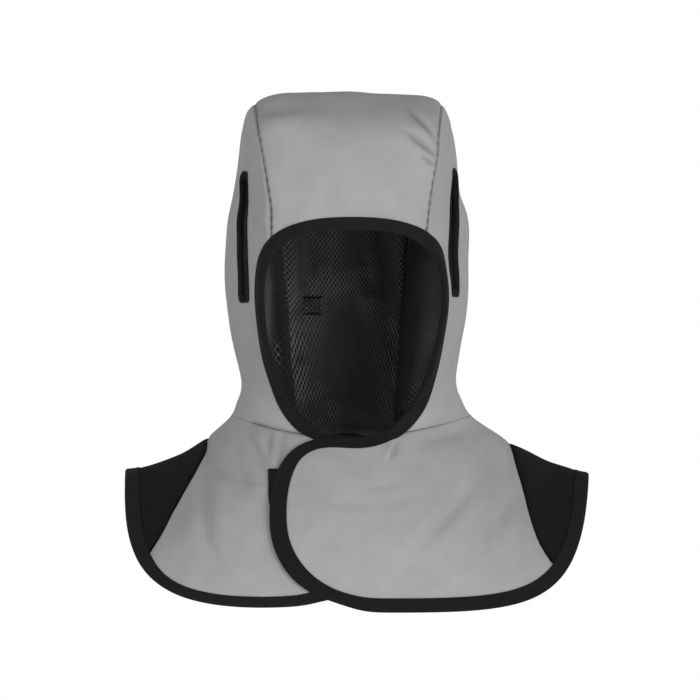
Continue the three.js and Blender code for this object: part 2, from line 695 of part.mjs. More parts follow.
const browRow = SIDE_ROWS.indexOf(BROW_HEIGHT);
const [flapColumns, flapRows] = GRID.flap;
const neckColumn = ROUND_COLUMNS + TOP_COLUMNS;
const rightCheek = cheekEdge(grids.right, 0, browRow);
const leftCheek = cheekEdge(grids.left, browRow, 0);
const underTop = topEdge(grids.under, neckColumn, 0, CLOTH);
const overTop = topEdge(grids.over, 0, neckColumn, CLOTH);
const bindingSteps = [
  ...rightCheek.slice(1, -1),
  ...topEdge(grids.centre, GRID.centre[0], 0, HOOD_WALL),
  ...leftCheek.slice(1, -1),
  cornerStep(leftCheek.at(-1), underTop[0], grids.under),
  ...underTop.slice(1, -1),
  ...columnEdge(grids.under, 0, flapRows),
  ...hemEdge(grids.under, 1, flapColumns - 1),
  ...hemEdge(grids.yoke, GRID.yoke[0], 0),
  ...hemEdge(grids.over, flapColumns - 1, 1),
  ...columnEdge(grids.over, flapRows, 0),
  ...overTop.slice(1, -1),
  cornerStep(rightCheek[0], overTop.at(-1), grids.over),
];

// Where a facet of the cloth comes too near its tape, the tape is cut back
const room = (name, depth) => wall(grids[name], -TRIM_GAP, depth + TRIM_GAP);
const hoodRooms = ["centre", "left", "right"].map((name) => room(name, HOOD_WALL));
const capeRooms = ["over", "under", "yoke"].map((name) => room(name, CLOTH));
const clearOf = (tape, rooms) => largest(rooms.reduce((rest, space) => rest.subtract(space), tape));
const edgeBinding = clearOf(foldedTape(bindingSteps, TAPE_GAP), [...hoodRooms, ...capeRooms]);
const slitBindingLeft = slitBinding(grids.left);
const slitBindingRight = slitBinding(grids.right);

// Closure strip on the under flap, and the bare tab on the lining at the back of the head
const closurePlace = (a, b) => {
  const t = lerp(CLOSURE.top, CLOSURE.bottom, b);
  const x = lerp(CLOSURE.left, CLOSURE.right, a);
  return [solve((angle) => capePoint(angle, t).x - x, -179, -1), t];
};
const closureGrid = sample(underLayer, closurePlace, 3, 6);
const closureStrip = wall(closureGrid, -CLOSURE.clearance - CLOSURE.thickness, -CLOSURE.clearance);

const patchV = (z) => solve((v) => centrePoint(LINING_PATCH.x / seamX(z), v).z - z, CORNER, 1);
const patchPlace = (a, b) => {
  const z = LINING_PATCH.z + LINING_PATCH.height * (b - 0.5);
  const x = LINING_PATCH.x + LINING_PATCH.width * (a - 0.5);
  return [x / seamX(z), patchV(z)];
};
const patchBlock = wall(sample(centrePanel, patchPlace, 1, 1), HOOD_WALL, HOOD_WALL + LINING_PATCH.reach);
const liningPatch = patchBlock.subtract(wall(grids.centre, 0, HOOD_WALL + GAP));

// Materials and the scene graph
const GREY_CLOTH = { color: 0x9c9c9c, roughness: 0.92, metalness: 0 };
const BLACK_CLOTH = { color: 0x1d1d1d, roughness: 0.95, metalness: 0 };
const BLACK_MESH = { color: 0x242424, roughness: 0.8, metalness: 0 };
const BLACK_TAPE = { color: 0x202020, roughness: 0.85, metalness: 0 };

function toMesh(name, manifold, look) {
  const { vertProperties, triVerts } = manifold.getMesh();
  const geometry = new THREE.BufferGeometry();
  geometry.setAttribute("position", new THREE.BufferAttribute(Float32Array.from(vertProperties), 3));
  geometry.setIndex(new THREE.BufferAttribute(Uint32Array.from(triVerts), 1));
  geometry.computeVertexNormals();
  const mesh = new THREE.Mesh(geometry, new THREE.MeshStandardMaterial(look));
  mesh.name = name;
  return mesh;
}

const hood = new THREE.Group();
hood.add(
  toMesh("hood_centre_panel", hoodCentre, GREY_CLOTH),
  toMesh("hood_side_left", hoodLeft, GREY_CLOTH),
  toMesh("hood_side_right", hoodRight, GREY_CLOTH),
  toMesh("lining_centre_panel", liningCentre, BLACK_MESH),
  toMesh("lining_side_left", liningLeft, BLACK_MESH),
  toMesh("lining_side_right", liningRight, BLACK_MESH),
  toMesh("lining_patch", liningPatch, BLACK_TAPE),
);

const shoulderCape = new THREE.Group();
shoulderCape.add(
  toMesh("cape_over_flap", overFlap, GREY_CLOTH),
  toMesh("cape_under_flap", underFlap, GREY_CLOTH),
  toMesh("cape_back_yoke", yoke, BLACK_CLOTH),
  toMesh("closure_strip", closureStrip, BLACK_TAPE),
);

const trim = new THREE.Group();
trim.add(
  toMesh("edge_binding", edgeBinding, BLACK_TAPE),
  toMesh("ear_slit_binding_left", slitBindingLeft, BLACK_TAPE),
  toMesh("ear_slit_binding_right", slitBindingRight, BLACK_TAPE),
);

const balaclava = new THREE.Group();
balaclava.name = "welding_balaclava";
balaclava.add(hood, shoulderCape, trim);
export default balaclava;
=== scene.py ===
# %% [markdown]
# # A welder's cloth hood with a shoulder cape
# The hood is sewn from a grey centre strip and two grey side panels, lined with black mesh. A cape of two
# grey flaps and one black shoulder yoke hangs from the neck seam, and one black tape binds every edge.
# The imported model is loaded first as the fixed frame, and every piece below takes the place of one of its
# plain solids. Lengths in this lesson are in millimetres until a mesh is made.

# %% Load the fixed frame
import math

import bmesh
import bpy
import numpy as np
from mathutils import Matrix, Vector
from mathutils.bvhtree import BVHTree
from mathutils.kdtree import KDTree


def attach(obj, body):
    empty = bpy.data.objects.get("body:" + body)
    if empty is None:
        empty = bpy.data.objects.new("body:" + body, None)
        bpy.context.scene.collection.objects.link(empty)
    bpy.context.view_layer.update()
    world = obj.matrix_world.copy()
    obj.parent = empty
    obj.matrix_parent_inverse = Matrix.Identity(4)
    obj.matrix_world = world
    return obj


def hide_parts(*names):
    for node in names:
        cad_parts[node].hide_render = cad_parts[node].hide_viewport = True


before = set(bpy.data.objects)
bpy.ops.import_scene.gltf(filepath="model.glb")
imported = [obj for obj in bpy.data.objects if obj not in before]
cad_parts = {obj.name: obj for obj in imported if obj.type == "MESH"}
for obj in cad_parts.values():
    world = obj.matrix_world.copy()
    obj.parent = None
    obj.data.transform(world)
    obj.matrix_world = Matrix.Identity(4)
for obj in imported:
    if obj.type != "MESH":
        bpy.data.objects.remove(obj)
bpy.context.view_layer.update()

# %% [markdown]
# ## Sizes and smooth curves
# A cut pattern is a few sizes and short tables. A smooth curve is drawn through each table with the same
# spline as in the frame, so that the fine cloth lies where the plain solids are.

# %% Thicknesses and curve helpers
MM = 0.001
CLOTH = 1.2
TAPE = 0.8
CURVE_STEPS = 4001
SOLVE_STEPS = 40


def lerp(start, end, share):
    return start + (end - start) * share


def smoothstep(value, low, high):
    share = np.clip((value - low) / (high - low), 0, 1)
    return share * share * (3 - 2 * share)


def bell(value, spread):
    return np.exp(-((value / spread) ** 2))


def signed_power(value, power):
    return np.sign(value) * np.abs(value) ** power


def unit(vectors):
    return vectors / np.linalg.norm(vectors, axis=-1, keepdims=True)


def lengths_along(points, axis=0):
    steps = np.diff(points, axis=axis, prepend=np.take(points, [0], axis=axis))
    return np.linalg.norm(steps, axis=-1).cumsum(axis)


def smooth_through(rows):
    rows = np.asarray(rows, float)
    padded = np.vstack([rows[:1], rows, rows[-1:]])
    place = np.linspace(0, len(rows) - 1, CURVE_STEPS)
    first = np.minimum(place.astype(int), len(rows) - 2)
    w = (place - first)[:, None]
    p0, p1, p2, p3 = (padded[first + k] for k in range(4))
    leave = (p2 - p0) / 2
    arrive = (p3 - p1) / 2
    bend = (2 * p1 - 2 * p2 + leave + arrive) * w**3
    return bend + (3 * p2 - 3 * p1 - 2 * leave - arrive) * w**2 + leave * w + p1


def reader(rows, column):
    curve = smooth_through([(row[0], row[column]) for row in rows])
    return lambda at: np.interp(at, curve[:, 0], curve[:, 1])


def solve(error, low, high):
    low = np.asarray(low, float)
    high = np.asarray(high, float)
    rising = error(high) > error(low)
    for _ in range(SOLVE_STEPS):
        middle = (low + high) / 2
        above = (error(middle) > 0) == rising
        high = np.where(above, middle, high)
        low = np.where(above, low, middle)
    return (low + high) / 2


print("cloth", CLOTH, "mm, tape", TAPE, "mm")

# %% [markdown]
# ## The neck seam and the cape
# The cape is a cone of cloth between two rings, the neck seam and the hem. It could be draped by a cloth
# simulation, but the hood is shown held in its worn form, so a formula gives each point: an angle round
# the body (0 on the right, 90 at the back) and a share of the way down.

# %% Rings and cape
NECK = dict(half=(104.5, 111), shoulder=(-289, -289), square=(0, 0), front=92, back=90)
NECK |= dict(front_z=(-307, -307), dip=(0, 0), back_z=-294)
HEM = dict(half=(198.3, 215.5), shoulder=(-338, -341.4), square=(0.5, 0.3), front=150, back=160)
HEM |= dict(front_z=(-452.0, -461.3), dip=(37.5, 1.2), back_z=-432)
HEM_DROP = dict(power=(1.075, 1.9), soft=(0.4, 0.41))
SHOULDER = dict(out=1.08, sag=(1.7, 1.32))
CHEST = 2
MIDDLE_BLEND = 0.1


def sided(pair, c):
    return lerp(pair[0], pair[1], smoothstep(c, -MIDDLE_BLEND, MIDDLE_BLEND))


def ring_point(ring, angle, drop):
    c = np.cos(np.radians(angle))
    s = np.sin(np.radians(angle))
    x = c * (1 + sided(ring["square"], c) * s * s) * sided(ring["half"], c)
    y = s * np.where(s > 0, ring["back"], ring["front"])
    end = np.where(s > 0, ring["back_z"], sided(ring["front_z"], c) - sided(ring["dip"], c) * np.abs(c))
    return np.stack([x, y, lerp(sided(ring["shoulder"], c), end, drop(np.abs(s), c))], -1)


def neck_point(angle):
    return ring_point(NECK, angle, lambda s, c: s * s)


def hem_drop(s, c):
    soft = sided(HEM_DROP["soft"], c)
    return 1 - np.maximum(0, 1 - s * s * (1 + soft) / (s + soft)) ** sided(HEM_DROP["power"], c)


def hem_point(angle):
    return ring_point(HEM, angle, hem_drop)


def cape_point(angle, t):
    neck = neck_point(angle)
    hem = hem_point(angle)
    full = np.sin(np.radians(angle)) ** 2
    out = lerp(t ** SHOULDER["out"], 1 - (1 - t) ** CHEST, full)
    sag = sided(SHOULDER["sag"], np.cos(np.radians(angle)))
    down = lerp(1 - (1 - t) ** sag, t, full)
    flat = lerp(neck, hem, out[..., None])
    return np.stack([flat[..., 0], flat[..., 1], lerp(neck[..., 2], hem[..., 2], down)], -1)


print("hem width", round(float(np.ptp(hem_point(np.linspace(0, 360, 361))[:, 0])), 1), "mm")

# %% [markdown]
# ## The centre strip of the hood
# One strip of grey cotton runs from the brow over the crown to the nape. Its middle line is drawn in the
# side view, and across its width it bows back a little, with squarer shoulders at the crown, where the
# cloth settles on the head. A table shifts its two seams, which don't run quite straight.

# %% Centre strip
MIDDLE_LINE = [
    (-107, -170), (-113, -122), (-115, -74), (-99, -28), (-55, -2), (0, 2.5),
    (58, -11), (103, -52), (122, -115), (118, -175), (103, -230), (90, -294),
]
BOW = 17
CROWN_BOW = 12
CROWN_POWER = 6
CROWN = dict(start=0.14, full=0.28, fade=0.48, end=0.66)
CROWN_SETTLE = dict(all=1.8, right=2.4, at=0.55, spread=0.4, edge=8)
NAPE_START = 0.85
SEAM = dict(x=81.5, z=-14, slope=0.098)
SEAM_SHIFT = [
    (-300, 0, 0), (-140, -1, 1), (-121, -1.5, 1.7), (-104, -3, 2), (-86, -2.3, 2.6),
    (-59, -0.5, 4.6), (-37, 1, 3.6), (-12, 1.5, 3.2), (20, 1.5, 3),
]
HAIRLINE = 0.24
CORNER = 0.6
FOREHEAD = 0.2

middle_line = smooth_through(MIDDLE_LINE)
middle_lengths = lengths_along(middle_line)
middle_shares = middle_lengths / middle_lengths[-1]
middle_slopes = np.gradient(middle_line, middle_lengths, axis=0)
left_shift = reader(SEAM_SHIFT, 1)
right_shift = reader(SEAM_SHIFT, 2)


def seam_x(u, z):
    straight = SEAM["x"] + SEAM["slope"] * (z - SEAM["z"])
    return straight + np.where(u < 0, left_shift(z), right_shift(z))


nape_ring = neck_point(np.linspace(180, 0, CURVE_STEPS))
nape_shares = nape_ring[:, 0] / seam_x(nape_ring[:, 0], nape_ring[:, 2])


def crown_settle(u):
    everywhere = CROWN_SETTLE["all"] * (1 - np.abs(u) ** CROWN_POWER)
    right = CROWN_SETTLE["right"] * bell(u - CROWN_SETTLE["at"], CROWN_SETTLE["spread"])
    return (everywhere + right) * (1 - np.abs(u) ** CROWN_SETTLE["edge"])


def centre_point(u, v):
    y, z = (np.interp(v, middle_shares, middle_line[:, k]) for k in range(2))
    run, rise = (np.interp(v, middle_shares, middle_slopes[:, k]) for k in range(2))
    crown = smoothstep(v, CROWN["start"], CROWN["full"]) * (1 - smoothstep(v, CROWN["fade"], CROWN["end"]))
    back = lerp(BOW * u * u, CROWN_BOW * np.abs(u) ** CROWN_POWER, crown)
    nape_y, nape_z = (np.interp(u, nape_shares, nape_ring[:, k]) for k in (1, 2))
    drawn = smoothstep(v, NAPE_START, 1)
    rear = lerp(y + rise * back, nape_y, drawn)
    down = lerp(z - run * back - crown_settle(u) * crown, nape_z, drawn)
    return np.stack([u * seam_x(u, down), rear, down], -1)


print("strip length", round(float(middle_lengths[-1]), 1), "mm")

# %% [markdown]
# ## The face opening
# The opening is a rounded outline, wider than a circle above and like a chin below. Every line along the
# strip begins where it first rises above that outline.

# %% Face opening
OPENING = dict(x=4.6, z=-178, half_width=83, up=56, down=135, round_up=2.65, round_down=2.05)


def opening_point(angle):
    c = np.cos(angle)
    s = np.sin(angle)
    power = 2 / np.where(s > 0, OPENING["round_up"], OPENING["round_down"])
    tall = np.where(s > 0, OPENING["up"], OPENING["down"])
    x = OPENING["x"] + OPENING["half_width"] * signed_power(c, power)
    return x, OPENING["z"] + tall * signed_power(s, power)


def opening_top(x):
    share = np.minimum(1, np.abs((x - OPENING["x"]) / OPENING["half_width"]))
    power = OPENING["round_up"]
    return OPENING["z"] + OPENING["up"] * (1 - share**power) ** (1 / power)


def brow_share(u):
    def above_opening(v):
        point = centre_point(u, v)
        return point[..., 2] - opening_top(point[..., 0])
    return solve(above_opening, np.zeros_like(u), np.full_like(u, FOREHEAD))


print("opening", 2 * OPENING["half_width"], "by", OPENING["up"] + OPENING["down"], "mm")

# %% [markdown]
# ## The side panels
# Each side panel is patched between four edges: the opening and the crown seam in front, the crown seam
# above, the back seam and the neck seam. The bend of the front edge at the brow is eased out behind the
# tape, and a short table pushes the panel out over the ear and in at the neck.

# %% Side panels
CHEEK_Y = -72
BROW_HEIGHT = 0.6
EASE = 0.16
EASE_STEPS = np.linspace(-1, 1, 9)
EDGE_KEEP = 0.07
CHIN_SEARCH = (-math.pi / 2 + 0.05, -0.2)
BACK_TURN = 0.4
STAND_OUT = [
    (0, 0, 0, 0), (0.08, -7.7, -11, 0), (0.16, -14.5, -19, 2), (0.3, -6.5, -12.7, 6),
    (0.45, 1.2, -3.4, 7), (0.6, 8.4, 5.4, 5), (0.71, 8.2, 4.4, 4), (0.82, 9, 6.2, 3),
    (0.9, 9.2, 6, 2), (0.96, 6.4, 3.4, 1), (1, 0, 0, 0),
]
stand_out = {-1: reader(STAND_OUT, 1), 1: reader(STAND_OUT, 2)}
lean = reader(STAND_OUT, 3)


def make_side(side, back_share=1.0):
    half = NECK["half"][1 if side > 0 else 0]
    brow_v = brow_share(np.array(float(side)))
    brow = centre_point(float(side), brow_v)

    def opening_at(angle):
        return opening_point(angle if side > 0 else math.pi - angle)

    def neck_angle(x):
        return np.degrees(-math.pi + np.arccos(np.clip(-x / half, -1, 1)))

    def chin_error(angle):
        x, z = opening_at(angle)
        return z - neck_point(neck_angle(x))[..., 2]

    brow_angle = solve(lambda angle: opening_at(angle)[1] - brow[2], 0, math.pi / 2)
    chin_angle = solve(chin_error, *CHIN_SEARCH)
    neck_start = neck_angle(opening_at(chin_angle)[0])
    nape_turn = math.degrees(math.acos(abs(centre_point(side * back_share, 1.0)[0]) / half))
    neck_end = nape_turn if side > 0 else -180 - nape_turn
    chin = neck_point(neck_start)

    def front(q):
        k = np.minimum(q / BROW_HEIGHT, 1)
        x, z = opening_at(lerp(chin_angle, brow_angle, k))
        y = chin[1] * (1 - k) ** 2 + 2 * CHEEK_Y * k * (1 - k) + brow[1] * k * k
        over = np.clip((q - BROW_HEIGHT) / (1 - BROW_HEIGHT), 0, 1)
        seam = centre_point(float(side), lerp(brow_v, HAIRLINE, over))
        return np.where((q > BROW_HEIGHT)[..., None], seam, np.stack([x, y, z], -1))

    def eased_front(q):
        reach = np.minimum(EASE, np.minimum(q, 1 - q))
        return sum(front(q + step * reach) for step in EASE_STEPS) / len(EASE_STEPS)

    def back(q):
        share = lerp(1, back_share, smoothstep(1 - q, 0, BACK_TURN))
        return centre_point(side * share, lerp(1, CORNER, q))

    def point(p, q):
        zero = np.zeros_like(p)
        p3 = p[..., None]
        q3 = q[..., None]
        at_edge = bell(p3, EDGE_KEEP)
        across = lerp(lerp(eased_front(q), front(q), at_edge), back(q), p3)
        bottom = neck_point(lerp(neck_start, neck_end, p))
        upwards = lerp(bottom, centre_point(float(side), lerp(HAIRLINE, CORNER, p)), q3)
        low = lerp(front(zero), back(zero), p3)
        high = lerp(front(zero + 1), back(zero + 1), p3)
        patch = across + upwards - lerp(low, high, q3)
        out = stand_out[side](q) * np.sin(math.pi * p) - lean(q) * np.sin(2 * math.pi * p)
        patch[..., 0] += side * out
        return patch

    return dict(point=point, neck_start=float(neck_start), brow_v=float(brow_v))


sides = {"left": make_side(-1), "right": make_side(1)}
print("chin at", {name: round(side["neck_start"], 1) for name, side in sides.items()}, "degrees")

# %% [markdown]
# ## Where each flap ends
# The flap on the right crosses over the one on the left. Each has a rounded free end, and meets the black
# yoke at a slanting shoulder seam, given by how far it lies in front of the shoulder.

# %% Flaps and yoke
OVER_END = dict(tip=-66.5, top=8, bottom=8, round_up=2.8, round_down=2.0)
UNDER_END = dict(tip=64, top=-8, bottom=-46, round_up=2.8, round_down=1.7)
CROSSING = dict(start=-28, end=36, lift=5.4)
FRONT = (-179.0, -1.0)
YOKE_RIGHT = [
    (0, -14), (0.2, -11), (0.34, -4), (0.39, 5.5), (0.44, 14.4),
    (0.496, 20.2), (0.549, 25.3), (0.609, 29.8), (0.682, 33.3), (0.775, 35.5), (1, 37),
]
YOKE_LEFT = [
    (0, -18), (0.14, -14), (0.22, -8), (0.264, 1), (0.29, 12.8), (0.362, 18.5),
    (0.441, 23.4), (0.528, 27.3), (0.618, 30.9), (0.71, 34.5), (0.824, 37.2), (1, 39.5),
]
FLAP_ROUND = 0.2
FLAP_NECK = 1 / 3
ROUND_SHARE = 0.13
right_forward = reader(YOKE_RIGHT, 1)
left_forward = reader(YOKE_LEFT, 1)


def front_angle(x, t):
    low, high = (np.full_like(t, angle) for angle in FRONT)
    return solve(lambda angle: cape_point(angle, t)[..., 0] - x, low, high)


def end_angle(end, t):
    rounding = np.where(t < 0.5, end["round_up"], end["round_down"])
    share = np.minimum(1, np.abs(2 * t - 1))
    start = np.where(t < 0.5, end["top"], end["bottom"])
    return front_angle(lerp(start, end["tip"], (1 - share**rounding) ** (1 / rounding)), t)


def flap_places(end, seam_at, neck_start):
    def free(a, t):
        near = lerp(end_angle(end, t), neck_start, (a - FLAP_ROUND) / (FLAP_NECK - FLAP_ROUND))
        far = lerp(neck_start, seam_at(t), (a - FLAP_NECK) / (1 - FLAP_NECK))
        return np.where(a < FLAP_NECK, near, far)

    def edge(a, straight, rounded):
        on_end = a < FLAP_ROUND
        t = np.where(on_end, rounded(ROUND_SHARE * np.maximum(0, 1 - a / FLAP_ROUND) ** 2), straight)
        angle = np.where(on_end, end_angle(end, t), free(a, np.full_like(a, straight)))
        return np.stack([angle, t], -1)

    def places(a, b):
        row = a[0]
        column = b[:, 0]
        top = edge(row, 0.0, lambda t: t)[None]
        bottom = edge(row, 1.0, lambda t: 1 - t)[None]
        end_t = lerp(ROUND_SHARE, 1 - ROUND_SHARE, column)
        left = np.stack([end_angle(end, end_t), end_t], -1)[:, None]
        right = np.stack([seam_at(column), column], -1)[:, None]
        a3 = a[..., None]
        b3 = b[..., None]
        corners = lerp(lerp(top[:, :1], top[:, -1:], a3), lerp(bottom[:, :1], bottom[:, -1:], a3), b3)
        place = lerp(left, right, a3) + lerp(top, bottom, b3) - corners
        return place[..., 0], np.clip(place[..., 1], 0, 1)

    return places


over_places = flap_places(OVER_END, lambda t: -right_forward(t), sides["right"]["neck_start"])
under_places = flap_places(UNDER_END, lambda t: left_forward(t) - 180, sides["left"]["neck_start"])


def yoke_places(a, b):
    return lerp(-right_forward(b), 180 + left_forward(b), a), b


print("flaps cross between", OVER_END["tip"], "and", UNDER_END["tip"], "mm")

# %% [markdown]
# ## Which way is out
# A sheet's outside is found from its own slopes: the cross product of its two directions, turned away
# from a point that lies behind all of it.

# %% Outward direction
HOOD_CORE = np.array([0.0, 0.0, -130.0])
CAPE_CORE = np.array([0.0, 0.0, -520.0])
STEP = 1e-3


def outward(shape, a, b, core):
    wide = shape(a + STEP, b) - shape(a - STEP, b)
    long = shape(a, np.minimum(b + STEP, 1)) - shape(a, np.maximum(b - STEP, 0))
    normal = unit(np.cross(wide, long))
    away = shape(a, b) - core
    away[..., 2] = np.maximum(away[..., 2], 0)
    return normal * np.where((normal * away).sum(-1, keepdims=True) < 0, -1, 1)


hairline_out = outward(centre_point, np.zeros(1), np.full(1, HAIRLINE), HOOD_CORE)[0]
print("out at the hairline", hairline_out.round(2))

# %% [markdown]
# ## Folds and the unevenness of cloth
# Real cloth is never a clean formula. Broad folds and sharp gathers are short strokes in a table, read
# off the front view: where, how turned, how long, how wide and how high. The sharp ones also get painted
# shade, as a narrow fold holds shadow. A few seeded long waves leave the rest slightly uneven.

# %% Strokes and waves
FOLDS = [
    ("centre", -60, -12, 8, 22, 8, -6.6), ("centre", -62, -27, 8, 22, 9, 2.0),
    ("centre", 65, -26, -45, 17, 2.6, -4.0), ("centre", 66, -46, -38, 17, 2.6, -4.0),
    ("centre", 73, -62, -31, 7, 2.5, -3.0), ("centre", 64, -36, -41, 15, 4.4, 2.4),
    ("centre", 68, -56, -36, 12, 4.4, 2.0), ("centre", 64, -16, -44, 13, 4.4, 1.6),
    ("centre", 20, -92, 80, 30, 16, -1.6), ("centre", -44, -96, 50, 14, 9, -1.4),
    ("centre", -18, -96, 60, 12, 8, -1.2), ("centre", 40, -104, 60, 12, 8, -1.2),
    ("left", -83, -100, 96, 40, 8, -2.4), ("left", -75, -100, 96, 36, 4.5, 1.6),
    ("left", -74, -115, 124, 9, 3.4, 1.2), ("left", -80, -118, 118, 12, 5, -1.2),
    ("under", -128.5, -365, 91, 36, 6.5, -4.4), ("under", -120.5, -409, 120, 15, 5.5, -2.6),
    ("under", -112, -375, 88, 36, 8, 2.0), ("under", -94.5, -342, 113, 19, 6.5, -4.0),
    ("under", -74.5, -407, 113, 14, 6, -2.2), ("under", -82, -318, 114, 22, 3.5, -3.4),
    ("under", -76, -312, 114, 14, 4, 2.4), ("under", -70.2, -314, 90, 10, 3.4, -2.0),
    ("under", -65, -318, 92, 16, 3.6, 3.0), ("under", -59.5, -316, 92, 14, 3.6, -2.6),
    ("over", 89, -375, 47, 34, 8, -6.0), ("over", 70, -385, 47, 34, 10, 2.6),
    ("over", 140, -374, 66, 20, 7, -5.0), ("over", 132, -395, 95, 18, 7, -2.0),
    ("over", 57, -430, 60, 24, 12, -2.0), ("over", 2, -366, 0, 16, 5, -1.3),
    ("over", 30, -349, 5, 14, 5, -1.4), ("over", 38, -317, 65, 9, 2.6, 2.2),
    ("over", 42.5, -319, 65, 9, 2.6, -2.2), ("over", -22, -402, 30, 16, 8, -1.6),
    ("over", 90, -305, 14, 24, 7, -3.6), ("over", 118, -316, 60, 14, 6, 1.6),
]
WAVES = dict(seed=7, count=14, shortest=28.0, longest=90.0, height=0.16)
# Narrow valley folds get painted shade: the widest fold that gets it, how dark, and how narrow.
SHARP = dict(width=2.6, shade=0.4, narrower=1.5)
FADE_DEPTH = 40.0


def in_stroke(points, x, z, turn, length, width):
    c = math.cos(math.radians(turn))
    s = math.sin(math.radians(turn))
    dx = points[..., 0] - x
    dz = points[..., 2] - z
    return (dx * c + dz * s) / length, (dz * c - dx * s) / width


def stroke_height(piece, points):
    height = np.zeros(points.shape[:-1])
    shade = np.zeros(points.shape[:-1])
    for name, x, z, turn, length, width, tall in FOLDS:
        if name != piece:
            continue
        along, across = in_stroke(points, x, z, turn, length, width)
        height += tall * np.exp(-along * along - across * across)
        if width <= SHARP["width"] and tall < 0:
            dark = SHARP["shade"] * np.exp(-(along**4) - (across * SHARP["narrower"]) ** 2)
            shade = np.maximum(shade, dark)
    in_front = smoothstep(-points[..., 1], 0, FADE_DEPTH)
    return height * in_front, shade * in_front


chance = np.random.default_rng(WAVES["seed"])
wave_ways = unit(chance.normal(size=(WAVES["count"], 3)))
wave_ways *= 2 * math.pi / chance.uniform(WAVES["shortest"], WAVES["longest"], (WAVES["count"], 1))
wave_starts = chance.uniform(0, 2 * math.pi, WAVES["count"])


def uneven(points):
    return WAVES["height"] * np.sin(points @ wave_ways.T + wave_starts).sum(-1)


print(len(FOLDS), "strokes,", WAVES["count"], "waves")

# %% [markdown]
# ## Seam lines
# A seam draws the cloth in. Every seam is kept as a row of close points with the way out at each, in a
# tree that finds the nearest one. How deep it draws changes along it: less on the crown, where the cloth
# is stretched, nothing at the back of the neck, and nothing under the tape at the hem.

# %% Seam points
SEAM_STEPS = dict(hood=601, yoke=301)
SEAM_KINDS = ("crown", "crown", "neck", "yoke", "yoke")
NECK_RISE = 40.0
NECK_DIP = dict(back=0.0, left=0.75, right=0.25, start=0.5, full=0.61)
CROWN_DIP = dict(left=0.6, right=0.3, z=-5.0, spread=15.0)
HEM_FADE = dict(start=0.86, end=0.93)

strip_share = np.linspace(0, 1, SEAM_STEPS["hood"])
yoke_share = np.linspace(0, 1, SEAM_STEPS["yoke"])
sewn_neck = np.linspace(sides["right"]["neck_start"], 360 + sides["left"]["neck_start"], SEAM_STEPS["hood"])
yoke_angles = (-right_forward(yoke_share), 180 + left_forward(yoke_share))
seam_lines = [
    centre_point(1.0, lerp(sides["right"]["brow_v"], 1, strip_share)),
    centre_point(-1.0, lerp(sides["left"]["brow_v"], 1, strip_share)),
    neck_point(sewn_neck),
    *(cape_point(angle, yoke_share) for angle in yoke_angles),
]
line_ways = [
    seam_lines[0] - HOOD_CORE,
    seam_lines[1] - HOOD_CORE,
    seam_lines[2] * [1, 1, 0] + [0, 0, NECK_RISE],
    *(outward(cape_point, angle, yoke_share, CAPE_CORE) for angle in yoke_angles),
]


def crown_depth(line):
    most = np.where(line[:, 0] > 0, CROWN_DIP["right"], CROWN_DIP["left"])
    return 1 - most * bell(line[:, 2] - CROWN_DIP["z"], CROWN_DIP["spread"])


def neck_depth(angle):
    front = smoothstep(-np.sin(np.radians(angle)), NECK_DIP["start"], NECK_DIP["full"])
    most = np.where(np.cos(np.radians(angle)) > 0, NECK_DIP["right"], NECK_DIP["left"])
    return lerp(NECK_DIP["back"], most, front)


yoke_depth = 1 - smoothstep(yoke_share, HEM_FADE["start"], HEM_FADE["end"])
crown_depths = [crown_depth(line) for line in seam_lines[:2]]
line_depths = [*crown_depths, neck_depth(sewn_neck), yoke_depth, yoke_depth]
seam_points = np.vstack(seam_lines)
seam_ways = unit(np.vstack(line_ways))
seam_along = np.concatenate([lengths_along(line) for line in seam_lines])
seam_depth = np.concatenate(line_depths)
seam_kind = np.repeat(SEAM_KINDS, [len(line) for line in seam_lines])
seam_mark = (seam_kind == "crown").astype(float)
seam_tree = KDTree(len(seam_points))
for index, point in enumerate(seam_points):
    seam_tree.insert(point, index)
seam_tree.balance()
print(len(seam_points), "seam points")

# %% [markdown]
# ## Relief of one cloth
# Each point of a panel asks for its nearest seam. Close to it, the seam pulls the point in and puckers
# it, and folds fade out. On the crown the seam groove gets a line of painted shade, broken where the
# puckers rise, and it is written down as crease shade for the finish to read.

# %% Relief
SEAM_DIP = dict(depth=2.6, width=1.8, broad=0.8, reach=6.5)
PUCKER = dict(pitch=8.5, height=0.45, plain=0.2, reach=5.0, fade=0.55, stray=1.7, stray_run=23.0)
SEAM_HOLD = 2.4
# Reach of the painted shade along the crown seams.
SEAM_SHADE_SPREAD = 1.8


def nearest_seam(points):
    found = [seam_tree.find(point) for point in points.reshape(-1, 3)]
    distance = np.array([hit[2] for hit in found])
    index = np.array([hit[1] for hit in found])
    return distance.reshape(points.shape[:-1]), index.reshape(points.shape[:-1])


def cloth_relief(piece, points, normal, lift):
    distance, index = nearest_seam(points)
    strokes, shade = stroke_height(piece, points)
    height = (strokes + uneven(points)) * (1 - bell(distance, SEAM_HOLD)) + lift
    dip = SEAM_DIP["depth"] * bell(distance, SEAM_DIP["width"])
    dip += SEAM_DIP["broad"] * bell(distance, SEAM_DIP["reach"])
    along = seam_along[index]
    mark = seam_mark[index]
    stray = PUCKER["stray"] * np.sin(along / PUCKER["stray_run"])
    wave = np.sin(2 * math.pi * along / PUCKER["pitch"] + stray)
    pucker = PUCKER["height"] * wave * bell(distance, PUCKER["reach"]) * lerp(PUCKER["plain"], 1, mark)
    drawn = (pucker - dip) * seam_depth[index]
    # Painted shade along the crown seam, lighter on each pucker's crest.
    seam_shade = mark * (1 - PUCKER["fade"] * (1 + wave) / 2)
    crease_shade = np.maximum(bell(distance, SEAM_SHADE_SPREAD) * seam_shade, shade)
    return points + normal * height[..., None] + seam_ways[index] * drawn[..., None], crease_shade


